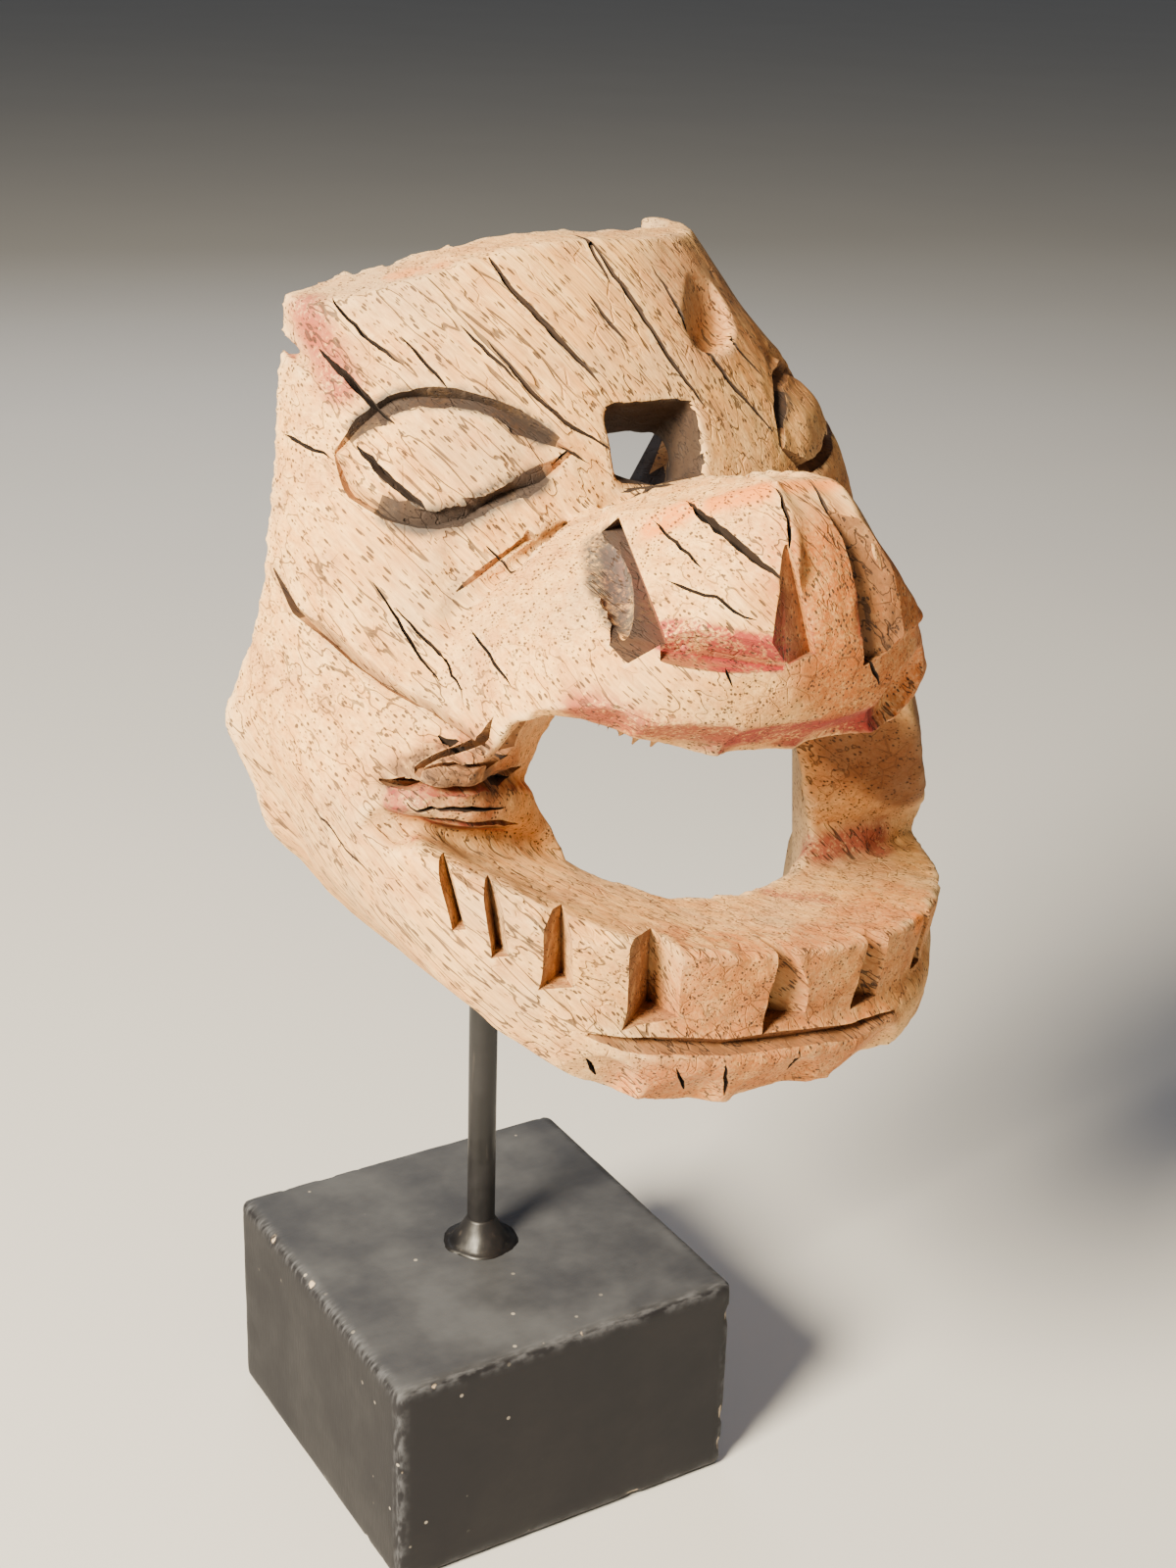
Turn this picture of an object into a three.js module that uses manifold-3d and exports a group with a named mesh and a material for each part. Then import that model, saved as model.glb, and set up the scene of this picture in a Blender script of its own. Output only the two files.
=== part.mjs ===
// A carved wooden beast mask for ritual dance, standing on a black rod in a painted block.
// Millimetres, +Z up. The origin is the middle of the block's underside, and the beast looks along -Y.
// The mask is one carving: a curved shell with a muzzle, open at its back, top and bottom.
import * as THREE from "three";
import { mergeVertices } from "three/addons/utils/BufferGeometryUtils.js";
import { ConvexGeometry } from "three/addons/geometries/ConvexGeometry.js";
import { RoundedBoxGeometry } from "three/addons/geometries/RoundedBoxGeometry.js";
import Module from "manifold-3d";

const wasm = await Module();
wasm.setup();

// ---------------------------------------------------------------- driving dimensions

const gap = 0.3; // between pieces that meet

const blockSide = 120;
const blockHeight = 72;
const blockEdgeRadius = 2.5;

const rodDiameter = 9;
const rodInBlock = 45;
const footDiameter = 25;
const footHeight = 9;

const maskYaw = THREE.MathUtils.degToRad(3); // turned towards the viewer's right
const maskTilt = THREE.MathUtils.degToRad(3); // the far side hangs a little lower
const maskPivotHeight = 290;

// Levels of the face, from crown to chin. Each gives the middle line's sideways place, reach forward
// and height, then the half-width, reach and height of the rim on the near and the far side.
// square is how boxy the arch between them is, fall how fast it leaves the middle's height,
// and lean how much it drops for each mm towards the far side.
const faceLevels = [
  { middle: [0, 45, 400], near: [74, 10, 382], far: [46, 6, 400], square: 2.3, fall: 3, lean: 0 }, // crown
  { middle: [0, 61, 382], near: [77, 14, 366], far: [60, 12, 380], square: 2.2, fall: 2.5, lean: 0 },
  { middle: [0, 74, 362], near: [81, 20, 350], far: [80, 20, 358], square: 2.1, fall: 2, lean: 0 }, // brow
  { middle: [0, 81, 346], near: [85, 27, 335], far: [92, 28, 338], square: 2.1, fall: 2, lean: 0 },
  { middle: [0, 86, 330], near: [88, 31, 318], far: [96, 33, 320], square: 2.1, fall: 2, lean: 0 },
  { middle: [0, 102, 310], near: [92, 32, 299], far: [100, 36, 298], square: 2.0, fall: 2, lean: 0 }, // cheek
  { middle: [0, 128, 290], near: [97, 32, 283], far: [103, 43, 278], square: 2.0, fall: 2, lean: 0 }, // lip
  { middle: [3, 136, 262], near: [97, 34, 274], far: [104, 44, 262], square: 2.1, fall: 2, lean: 0.05 },
  { middle: [6, 143, 239], near: [95, 37, 262], far: [104, 42, 246], square: 2.4, fall: 2, lean: 0.12 },
  { middle: [6, 139, 217], near: [91, 40, 253], far: [102, 42, 236], square: 2.5, fall: 2, lean: 0.1 },
  { middle: [6, 143, 210], near: [90, 40, 249], far: [102, 42, 232], square: 2.5, fall: 2, lean: 0.1 },
  { middle: [6, 136, 194], near: [84, 42, 239], far: [102, 46, 211], square: 2.7, fall: 2, lean: 0.05 },
];
const gumDrop = 8 / 11; // where the gum and the teeth's foot lie, from 0 at the crown to 1 at the chin
const toothFootDrop = 9 / 11;

// The hollow behind the face, in the same form. It runs out past the crown and below the chin.
const hollowLevels = [
  { middle: [0, 12, 428], near: [56, 0, 420], far: [36, 0, 428], square: 2.2, fall: 2, lean: 0 },
  { middle: [0, 27, 396], near: [58, 2, 384], far: [38, 0, 398], square: 2.2, fall: 2, lean: 0 },
  { middle: [0, 43, 372], near: [61, 6, 364], far: [50, 4, 374], square: 2.1, fall: 2, lean: 0 },
  { middle: [0, 58, 350], near: [66, 10, 346], far: [68, 8, 350], square: 2.0, fall: 2, lean: 0 },
  { middle: [0, 66, 326], near: [71, 14, 322], far: [81, 10, 324], square: 2.0, fall: 2, lean: 0 },
  { middle: [0, 82, 300], near: [77, 16, 296], far: [88, 10, 296], square: 2.0, fall: 2, lean: 0 },
  { middle: [2, 98, 270], near: [74, 18, 272], far: [97, 10, 272], square: 1.9, fall: 2, lean: 0 },
  { middle: [4, 104, 236], near: [68, 18, 252], far: [98, 12, 252], square: 1.75, fall: 2, lean: 0 },
  { middle: [4, 99, 190], near: [68, 18, 225], far: [93, 12, 225], square: 1.9, fall: 2, lean: 0 },
  { middle: [4, 92, 150], near: [66, 18, 170], far: [86, 8, 170], square: 2.0, fall: 2, lean: 0 },
];

// The muzzle, from the flat top of the nose down to the edge of the upper lip.
const muzzleLevels = [
  { middle: [0, 133, 358], near: [22, 60, 340], far: [22, 60, 340], square: 2.6, fall: 2, lean: 0 },
  { middle: [0, 143, 351], near: [34, 60, 335], far: [34, 60, 335], square: 2.4, fall: 2, lean: 0 },
  { middle: [0, 149, 338], near: [46, 60, 326], far: [46, 60, 326], square: 2.4, fall: 2, lean: 0 },
  { middle: [0, 152, 322], near: [58, 60, 315], far: [58, 60, 315], square: 2.6, fall: 2, lean: 0 },
  { middle: [0, 149, 306], near: [68, 60, 300], far: [74, 60, 300], square: 2.3, fall: 2, lean: 0 },
  { middle: [0, 140, 288], near: [72, 60, 284], far: [78, 60, 284], square: 2.1, fall: 2, lean: 0 },
];
const muzzleRise = 0.3; // how steeply the nose's top climbs as it runs forward

// The open mouth, an arched wedge between the gum and the upper lip.
const mouthArch = { middle: 4, halfWidth: 97, back: 28, depth: 112 };
const mouthCornerAngle = 57; // degrees from the middle, at the face
const mouthInnerCornerAngles = { gum: 40, lip: 48 }; // the same, deep inside
const lip = { height: 290, lift: 10, liftAngle: 36, liftSpread: 14 }; // higher beside the nose

// The square hole between the eyes.
const browHole = { middle: -1.5, width: 27, height: 20, reach: 77, level: 354, slope: 38 };

// The eyes, each an almond between the grooves of its two lids. A lid rises to its full height, the
// sooner along the eye the smaller its bow is.
const nearEye = {
  start: [-76, 348],
  end: [-26, 353],
  lids: [{ rise: 13.5, bow: 0.8 }, { rise: -13, bow: 0.6 }],
};
const farEye = {
  start: [42, 348],
  end: [84, 354],
  lids: [{ rise: 20, bow: 0.5 }, { rise: -8, bow: 0.8 }],
};
const lidGroove = { width: 5, depth: 3 };

// The nose: two flat wings with a strip between them.
const noseWingPoints = [
  [-31, 101, 342],
  [-14, 112, 351],
  [-9, 137, 358],
  [-10, 150, 346],
  [-17, 154, 321],
  [-38, 141, 322],
];
const noseWingThickness = 14;
// Straight grooves down the nose, each with the way that it faces.
const nearNoseGroove = {
  top: [-11, 139, 356],
  foot: [-10, 152, 320],
  faces: [0, 1, 0],
  width: 3.5,
  depth: 2.5,
};
const farNoseGroove = {
  top: [3, 137, 358],
  foot: [13, 153, 319],
  faces: [0, 1, 0],
  width: 5,
  depth: 4,
};
const farNostril = {
  top: [31, 96, 342],
  foot: [43, 130, 319],
  faces: [1, 0.45, 0.25],
  width: 11,
  depth: 9,
};

// The gaps between the lower teeth: place across at the gum and at the foot, and width there.
const toothGaps = [
  { gum: -70, foot: -73, gumWidth: 3, footWidth: 3, depth: 5 },
  { gum: -64, foot: -66, gumWidth: 3, footWidth: 4, depth: 6 },
  { gum: -56, foot: -54, gumWidth: 5, footWidth: 7, depth: 9 },
  { gum: -33, foot: -30, gumWidth: 8, footWidth: 12, depth: 12 },
  { gum: 4, foot: 8, gumWidth: 1.5, footWidth: 11, depth: 11 },
  { gum: 37, foot: 38, gumWidth: 4, footWidth: 8, depth: 10 },
  { gum: 64, foot: 64, gumWidth: 4, footWidth: 6, depth: 8 },
  { gum: 82, foot: 82, gumWidth: 3, footWidth: 4, depth: 6 },
];

const cheekLine = { from: [-86, 322], by: [-88, 302], to: [-62, 289], width: 4, depth: 2.5 };
const muzzleCrease = { from: [-58, 316], by: [-42, 330], to: [-16, 341], width: 6, depth: 3 };

// Two splits in the rims, each a wedge along a direction through the wall.
const earSplit = {
  edge: [-80, 8, 374],
  end: [-64, 44, 358],
  through: [-0.8, 0.5, 0.2],
  widening: [0.3, 0, 1],
  opening: 4,
};
const crownNotch = {
  edge: [-44, 40, 402],
  end: [-44, 40, 394],
  through: [-0.4, 0.9, 0.1],
  widening: [1, 0, 0],
  opening: 7,
};

const rodBendRadius = 30;
const rodBendHeight = 336;
const rodSlope = 45; // degrees, of the rod's hidden upper end
const rodSlopedLength = 46; // from the end of the bend to the tip in the forehead

// ---------------------------------------------------------------- solids and their cuts

function solid(geometry) {
  const bare = geometry.clone();
  bare.deleteAttribute("normal");
  bare.deleteAttribute("uv");
  const merged = mergeVertices(bare, 1e-4);
  const position = merged.getAttribute("position");
  const index = Uint32Array.from(merged.getIndex().array);
  const [a, b, c] = [new THREE.Vector3(), new THREE.Vector3(), new THREE.Vector3()];
  let volume = 0;
  for (let i = 0; i < index.length; i += 3) {
    a.fromBufferAttribute(position, index[i]);
    b.fromBufferAttribute(position, index[i + 1]);
    c.fromBufferAttribute(position, index[i + 2]);
    volume += a.dot(b.cross(c));
  }
  if (volume < 0) {
    for (let i = 0; i < index.length; i += 3) {
      [index[i], index[i + 1]] = [index[i + 1], index[i]];
    }
  }
  const mesh = new wasm.Mesh({
    numProp: 3,
    vertProperties: Float32Array.from(position.array),
    triVerts: index,
  });
  return new wasm.Manifold(mesh);
}

function geometryOf(manifold) {
  const mesh = manifold.getMesh();
  const geometry = new THREE.BufferGeometry();
  geometry.setAttribute("position", new THREE.BufferAttribute(mesh.vertProperties, 3));
  geometry.setIndex(new THREE.BufferAttribute(mesh.triVerts, 1));
  return geometry;
}

// A box whose points are moved by place(across, up, out), each argument running from 0 to 1.
function warpedBox(acrossSteps, upSteps, outSteps, place) {
  const geometry = new THREE.BoxGeometry(1, 1, 1, acrossSteps, upSteps, outSteps);
  const position = geometry.getAttribute("position");
  for (let i = 0; i < position.count; i += 1) {
    const moved = place(position.getX(i) + 0.5, position.getY(i) + 0.5, position.getZ(i) + 0.5);
    position.setXYZ(i, moved.x, moved.y, moved.z);
  }
  return solid(geometry);
}

// A closed body through rings that all have the same number of points.
function ringBody(rings) {
  const sides = rings[0].length;
  const points = rings.flat();
  const index = [];
  for (let ring = 0; ring + 1 < rings.length; ring += 1) {
    for (let side = 0; side < sides; side += 1) {
      const here = ring * sides + side;
      const next = ring * sides + ((side + 1) % sides);
      index.push(here, next, next + sides, here, next + sides, here + sides);
    }
  }
  const last = (rings.length - 1) * sides;
  for (let side = 1; side + 1 < sides; side += 1) {
    index.push(0, side + 1, side);
    index.push(last, last + side, last + side + 1);
  }
  const geometry = new THREE.BufferGeometry().setFromPoints(points);
  geometry.setIndex(index);
  return solid(geometry);
}

function hull(points) {
  return solid(new ConvexGeometry(points));
}

// ---------------------------------------------------------------- the arched form of the face

// Turns a list of levels into a surface: side runs from -1 to 1 across, drop from 0 (top) to 1 (foot).
function archSurface(levels) {
  const curve = (points) => new THREE.CatmullRomCurve3(points);
  const middleCurve = curve(
    levels.map(({ middle: [x, reach, height] }) => new THREE.Vector3(x, -reach, height)),
  );
  const nearCurve = curve(
    levels.map(({ near: [halfWidth, reach, height] }) => new THREE.Vector3(-halfWidth, -reach, height)),
  );
  const farCurve = curve(
    levels.map(({ far: [halfWidth, reach, height] }) => new THREE.Vector3(halfWidth, -reach, height)),
  );
  function blend(key, drop) {
    const place = THREE.MathUtils.clamp(drop, 0, 1) * (levels.length - 1);
    const above = Math.min(Math.floor(place), levels.length - 2);
    return THREE.MathUtils.lerp(levels[above][key], levels[above + 1][key], place - above);
  }
  return function surface(side, drop) {
    const middle = middleCurve.getPoint(drop);
    const rim = (side < 0 ? nearCurve : farCurve).getPoint(drop);
    const angle = (Math.abs(side) * Math.PI) / 2;
    const power = 2 / blend("square", drop);
    const forward = Math.max(Math.cos(angle), 0);
    const x = THREE.MathUtils.lerp(middle.x, rim.x, Math.sin(angle) ** power);
    const y = THREE.MathUtils.lerp(rim.y, middle.y, forward ** power);
    const z = THREE.MathUtils.lerp(rim.z, middle.z, forward ** blend("fall", drop));
    return new THREE.Vector3(x, y, z - x * blend("lean", drop));
  };
}

// A body that fills a surface back to its rims, and on by extraDepth. Its back is lower by backFall
// for each mm that it lies behind the front.
function archBody(levels, extraDepth, backFall, acrossSteps, upSteps) {
  const surface = archSurface(levels);
  return warpedBox(acrossSteps, upSteps, 1, (across, up, out) => {
    const side = 2 * across - 1;
    const point = surface(side, 1 - up);
    if (out < 0.5) {
      const backY = surface(side < 0 ? -1 : 1, 1 - up).y + extraDepth;
      point.z -= (backY - point.y) * backFall;
      point.y = backY;
    }
    return point;
  });
}

const face = archSurface(faceLevels);

function halve(low, high, isLow) {
  for (let step = 0; step < 20; step += 1) {
    const half = (low + high) / 2;
    [low, high] = isLow(half) ? [half, high] : [low, half];
  }
  return (low + high) / 2;
}

function sideAt(x, drop) {
  return halve(-1, 1, (side) => face(side, drop).x < x);
}

function outward(side, drop) {
  const step = 0.01;
  const along = face(side + step, drop).sub(face(side - step, drop));
  const down = face(side, drop + step).sub(face(side, drop - step));
  return down.cross(along).normalize();
}

// The point of the face at a given x and height, and the way the face looks there.
function onFace(x, height) {
  const drop = halve(0, 1, (trial) => face(sideAt(x, trial), trial).z > height);
  const side = sideAt(x, drop);
  return { point: face(side, drop), normal: outward(side, drop) };
}

// A V-shaped groove through places that each give a point and a normal; it fades out at its ends.
function groove(places, width, depth) {
  const lift = 2;
  const rings = places.map(({ point, normal }, index) => {
    const before = places[Math.max(index - 1, 0)].point;
    const after = places[Math.min(index + 1, places.length - 1)].point;
    const across = after.clone().sub(before).cross(normal).setLength(1);
    const fullness = 0.25 + 0.75 * Math.sin((Math.PI * index) / (places.length - 1));
    const half = (width * fullness * (depth + lift)) / depth / 2;
    return [
      point.clone().addScaledVector(across, half).addScaledVector(normal, lift),
      point.clone().addScaledVector(normal, -depth * fullness),
      point.clone().addScaledVector(across, -half).addScaledVector(normal, lift),
    ];
  });
  return ringBody(rings);
}

// ---------------------------------------------------------------- the mask's pieces and cuts

function mouthCut() {
  const { middle, halfWidth, back, depth } = mouthArch;
  const [hollowScale, wallScale, outerScale] = [0.6, 0.75, 1.25]; // the arch's, which is 1 at the face
  const floorSpan = [-80, 88]; // across, where the gum is level enough to follow
  const closingStart = 0.72; // where the roof starts down to the corners
  const cornerHeight = 9;
  const leastHeight = 3;
  return warpedBox(24, 3, 6, (across, up, out) => {
    const scale = THREE.MathUtils.lerp(hollowScale, outerScale, out);
    const inner = THREE.MathUtils.lerp(mouthInnerCornerAngles.gum, mouthInnerCornerAngles.lip, up);
    const corner = THREE.MathUtils.mapLinear(scale, wallScale, 1, inner, mouthCornerAngle);
    const degrees = (2 * across - 1) * corner;
    const angle = THREE.MathUtils.degToRad(degrees);
    const x = middle + halfWidth * scale * Math.sin(angle);
    const y = -(back + depth * scale * Math.cos(angle));
    const onGum = THREE.MathUtils.clamp(middle + halfWidth * Math.sin(angle), ...floorSpan);
    const floor = face(sideAt(onGum, gumDrop), gumDrop).z;
    const lift = lip.lift * Math.exp(-(((Math.abs(degrees) - lip.liftAngle) / lip.liftSpread) ** 2));
    const closing = THREE.MathUtils.smoothstep(Math.abs(2 * across - 1), closingStart, 1);
    const roof = THREE.MathUtils.lerp(lip.height + lift, floor + cornerHeight, closing);
    return new THREE.Vector3(x, y, THREE.MathUtils.lerp(floor, Math.max(roof, floor + leastHeight), up));
  });
}

function browHoleCut() {
  const { middle, width, height, reach, level, slope } = browHole;
  const cutDepth = 70;
  const box = new THREE.BoxGeometry(width, cutDepth, height);
  box.rotateX(THREE.MathUtils.degToRad(-slope));
  box.translate(middle, -reach, level);
  return solid(box);
}

function eyeCuts({ start, end, lids }) {
  const steps = 14;
  return lids.map(({ rise, bow }) => {
    const places = [];
    for (let step = 0; step <= steps; step += 1) {
      const along = step / steps;
      const x = THREE.MathUtils.lerp(start[0], end[0], along);
      const height = THREE.MathUtils.lerp(start[1], end[1], along);
      places.push(onFace(x, height + rise * Math.sin(Math.PI * along ** bow)));
    }
    return groove(places, lidGroove.width, lidGroove.depth);
  });
}

function curvedLineCut({ from, by, to, width, depth }) {
  const curve = new THREE.QuadraticBezierCurve(
    new THREE.Vector2(...from),
    new THREE.Vector2(...by),
    new THREE.Vector2(...to),
  );
  return groove(curve.getPoints(12).map(({ x, y }) => onFace(x, y)), width, depth);
}

function toothGapCut({ gum, foot, gumWidth, footWidth, depth }) {
  const corners = [];
  const lift = 4; // how far the cut stands out of the face
  const ends = [
    [gum, gumDrop - 0.02, gumWidth],
    [foot, toothFootDrop - 0.008, footWidth],
  ];
  for (const [x, drop, width] of ends) {
    const side = sideAt(x, drop);
    const point = face(side, drop);
    const normal = outward(side, drop).setZ(0).normalize();
    const across = new THREE.Vector3(0, 0, 1).cross(normal);
    const half = (width * (depth + lift)) / depth / 2;
    corners.push(
      point.clone().addScaledVector(across, half).addScaledVector(normal, lift),
      point.clone().addScaledVector(across, -half).addScaledVector(normal, lift),
      point.clone().addScaledVector(normal, -depth),
    );
  }
  return hull(corners);
}

// A thin wedge through the wall, open at an edge and closing at its end.
function splitCut({ edge, end, through, widening, opening }) {
  const place = ([x, reach, height]) => new THREE.Vector3(x, -reach, height);
  const half = place(widening).setLength(opening / 2);
  const halfDepth = 22;
  const corners = [];
  for (const depth of [-halfDepth, halfDepth]) {
    const inward = place(through).setLength(depth);
    corners.push(place(edge).add(half).add(inward));
    corners.push(place(edge).sub(half).add(inward));
    corners.push(place(end).add(inward));
  }
  return hull(corners);
}

function mirrored([x, reach, height]) {
  return [-x, reach, height];
}

function noseWing(points) {
  const inward = new THREE.Vector3(points[0][0] > 0 ? -0.35 : 0.35, 1, 0).setLength(noseWingThickness);
  const front = points.map(([x, reach, height]) => new THREE.Vector3(x, -reach, height));
  return hull([...front, ...front.map((point) => point.clone().add(inward))]);
}

// A straight groove down the nose, cut from the way that it faces.
function noseCut({ top, foot, faces, width, depth }) {
  const steps = 8;
  const place = ([x, reach, height]) => new THREE.Vector3(x, -reach, height);
  const normal = place(faces).normalize();
  const places = [];
  for (let step = 0; step <= steps; step += 1) {
    places.push({ point: place(top).lerp(place(foot), step / steps), normal });
  }
  return groove(places, width, depth);
}

const nearNostril = {
  ...farNostril,
  top: mirrored(farNostril.top),
  foot: mirrored(farNostril.foot),
  faces: mirrored(farNostril.faces),
};

let mask = archBody(faceLevels, 0, 0, 32, 26)
  .add(archBody(muzzleLevels, 0, muzzleRise, 20, 10))
  .add(noseWing(noseWingPoints))
  .add(noseWing(noseWingPoints.map(mirrored)))
  .subtract(archBody(hollowLevels, 60, 0, 24, 16));

const cuts = [
  mouthCut(),
  browHoleCut(),
  ...eyeCuts(nearEye),
  ...eyeCuts(farEye),
  ...toothGaps.map(toothGapCut),
  ...[nearNoseGroove, farNoseGroove, nearNostril, farNostril].map(noseCut),
  curvedLineCut(cheekLine),
  curvedLineCut(muzzleCrease),
  splitCut(earSplit),
  splitCut(crownNotch),
];
for (const cut of cuts) {
  mask = mask.subtract(cut);
}

// ---------------------------------------------------------------- the rod and the block

// The rod stands in the block, then bends forward inside the mask and up into the back of its forehead.
function rodPath(endTrim) {
  const slope = THREE.MathUtils.degToRad(rodSlope);
  const path = new THREE.CurvePath();
  const foot = new THREE.Vector3(0, 0, blockHeight - rodInBlock - endTrim);
  const bend = new THREE.Vector3(0, 0, rodBendHeight);
  const corner = bend.clone().setZ(rodBendHeight + rodBendRadius * Math.tan(slope / 2));
  const sloped = new THREE.Vector3(0, -Math.sin(slope), Math.cos(slope));
  const bent = corner.clone().addScaledVector(sloped, rodBendRadius * Math.tan(slope / 2));
  const tip = bent.clone().addScaledVector(sloped, rodSlopedLength + endTrim);
  path.add(new THREE.LineCurve3(foot, bend));
  path.add(new THREE.QuadraticBezierCurve3(bend, corner, bent));
  path.add(new THREE.LineCurve3(bent, tip));
  return path;
}

// A round bar along the rod's path, with its rings square to it.
function barBody(radius, endTrim) {
  const sides = 16;
  const steps = 34;
  const path = rodPath(endTrim);
  const rings = [];
  for (let step = 0; step <= steps; step += 1) {
    const centre = path.getPointAt(step / steps);
    const along = path.getTangentAt(step / steps);
    const across = new THREE.Vector3(1, 0, 0);
    const third = along.clone().cross(across).normalize();
    const ring = [];
    for (let side = 0; side < sides; side += 1) {
      const angle = (2 * Math.PI * side) / sides;
      ring.push(
        centre.clone()
          .addScaledVector(across, radius * Math.cos(angle))
          .addScaledVector(third, radius * Math.sin(angle)),
      );
    }
    rings.push(ring);
  }
  return ringBody(rings);
}

// The hardened filler around the rod's foot, a low mound on the block.
function footMound() {
  const profile = [new THREE.Vector2(0, 0)];
  const steps = 6;
  for (let step = 0; step <= steps; step += 1) {
    const along = step / steps;
    const radius = THREE.MathUtils.lerp(footDiameter, rodDiameter, along ** 0.55) / 2;
    profile.push(new THREE.Vector2(radius + 0.2, footHeight * along));
  }
  profile.push(new THREE.Vector2(0, footHeight));
  const mound = new THREE.LatheGeometry(profile, 24);
  mound.rotateX(Math.PI / 2);
  mound.translate(0, 0, blockHeight + gap);
  return solid(mound);
}

function blockBody() {
  const block = new RoundedBoxGeometry(blockSide, blockSide, blockHeight, 2, blockEdgeRadius);
  block.translate(0, 0, blockHeight / 2);
  return solid(block);
}

// ---------------------------------------------------------------- the scene

function piece(name, manifold, color, roughness, metalness) {
  const material = new THREE.MeshStandardMaterial({ color, roughness, metalness });
  const mesh = new THREE.Mesh(geometryOf(manifold), material);
  mesh.name = name;
  return mesh;
}

const object = new THREE.Group();

const maskGroup = new THREE.Group();
maskGroup.position.z = maskPivotHeight;
maskGroup.rotation.set(0, maskTilt, maskYaw, "ZYX");
maskGroup.updateMatrix();

const socket = geometryOf(barBody(rodDiameter / 2 + gap, gap));
socket.applyMatrix4(maskGroup.matrix.clone().invert());
socket.translate(0, 0, maskPivotHeight);
mask = mask.subtract(solid(socket));

const maskMesh = piece("mask", mask, 0xd9bd97, 0.85, 0);
maskMesh.position.z = -maskPivotHeight;
maskGroup.add(maskMesh);
object.add(maskGroup);

const rod = barBody(rodDiameter / 2, 0).add(footMound());
object.add(piece("rod", rod, 0x232426, 0.4, 0.3));

const block = blockBody().subtract(barBody(rodDiameter / 2 + gap, gap));
object.add(piece("base_block", block, 0x2b2c2e, 0.6, 0));

export default object;
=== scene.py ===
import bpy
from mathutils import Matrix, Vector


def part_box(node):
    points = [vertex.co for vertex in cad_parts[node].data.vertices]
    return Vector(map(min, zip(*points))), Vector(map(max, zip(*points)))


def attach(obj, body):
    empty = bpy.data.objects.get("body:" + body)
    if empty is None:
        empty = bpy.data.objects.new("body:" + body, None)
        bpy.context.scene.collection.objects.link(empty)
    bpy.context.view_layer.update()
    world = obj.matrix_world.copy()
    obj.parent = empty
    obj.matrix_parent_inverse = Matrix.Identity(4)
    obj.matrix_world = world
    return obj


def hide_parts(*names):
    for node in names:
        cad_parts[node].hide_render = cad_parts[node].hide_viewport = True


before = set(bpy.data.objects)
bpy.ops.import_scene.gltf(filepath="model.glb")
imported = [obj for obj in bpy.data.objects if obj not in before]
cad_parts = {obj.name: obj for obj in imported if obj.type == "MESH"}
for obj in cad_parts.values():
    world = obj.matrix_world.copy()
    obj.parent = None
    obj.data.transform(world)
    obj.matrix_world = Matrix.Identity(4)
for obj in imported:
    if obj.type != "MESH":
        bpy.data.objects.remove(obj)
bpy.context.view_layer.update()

import math
import random

import bmesh
import bpy
import numpy as np
from mathutils import Matrix, Vector, noise
from mathutils.bvhtree import BVHTree
from mathutils.kdtree import KDTree

# ---------------------------------------------------------------- camera, light and floor
# A hand-held look down at the mask from its near side, with one large window's light from the left.
# The floor is a plain pale sheet.

mm = 0.001

camera_place = Vector((-299.4, -548.2, 491.8)) * mm
camera_azimuth = math.radians(31.43)
camera_pitch = math.radians(22.46)
camera_roll = math.radians(1.81)

camera = bpy.data.objects.new("camera", bpy.data.cameras.new("camera"))
camera.data.lens = 51.75
camera.data.sensor_width = 36
camera.data.clip_start = 0.01
camera.matrix_world = (
    Matrix.Translation(camera_place)
    @ Matrix.Rotation(-camera_azimuth, 4, "Z")
    @ Matrix.Rotation(math.pi / 2 - camera_pitch, 4, "X")
    @ Matrix.Rotation(camera_roll, 4, "Z")
)
bpy.context.scene.collection.objects.link(camera)
bpy.context.scene.camera = camera


def colour(red, green, blue):
    """A colour of 0 to 255 as the linear one that shaders and lights take."""
    parts = [part / 255 for part in (red, green, blue)]
    linear = [part / 12.92 if part < 0.04 else ((part + 0.055) / 1.055) ** 2.4 for part in parts]
    return (*linear, 1)


def soft_light(name, place, target, size, power, tint):
    lamp = bpy.data.objects.new(name, bpy.data.lights.new(name, "AREA"))
    lamp.data.shape = "DISK"
    lamp.data.size = size
    lamp.data.energy = power
    lamp.data.color = tint[:3]
    lamp.location = place
    lamp.rotation_euler = (Vector(target) - Vector(place)).to_track_quat("-Z", "Y").to_euler()
    bpy.context.scene.collection.objects.link(lamp)


middle = (0, -0.05, 0.25)
soft_light("window", (-1.35, -0.55, 1.2), middle, 0.6, 156, colour(255, 240, 212))
soft_light("fill", (1.2, -1.3, 0.5), middle, 1.4, 2, colour(255, 214, 176))
soft_light("back", (0.4, 1.5, 1.3), middle, 1.2, 10, colour(240, 244, 255))

world = bpy.data.worlds.new("studio")
world.use_nodes = True
world.node_tree.nodes["Background"].inputs["Color"].default_value = colour(214, 218, 224)
world.node_tree.nodes["Background"].inputs["Strength"].default_value = 0.14
bpy.context.scene.world = world


class Value:
    """A shader socket that takes part in sums, so that 1 - mask or 0.4 * a + b adds its Math nodes."""

    def __init__(self, finish, socket):
        self.finish = finish
        self.socket = socket

    def __add__(self, other):
        return self.finish.maths("ADD", self, other)

    __radd__ = __add__

    def __sub__(self, other):
        return self.finish.maths("SUBTRACT", self, other)

    def __rsub__(self, other):
        return self.finish.maths("SUBTRACT", other, self)

    def __mul__(self, other):
        return self.finish.maths("MULTIPLY", self, other)

    __rmul__ = __mul__

    def __or__(self, other):
        return self.finish.maths("MAXIMUM", self, other)

    __ror__ = __or__


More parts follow.
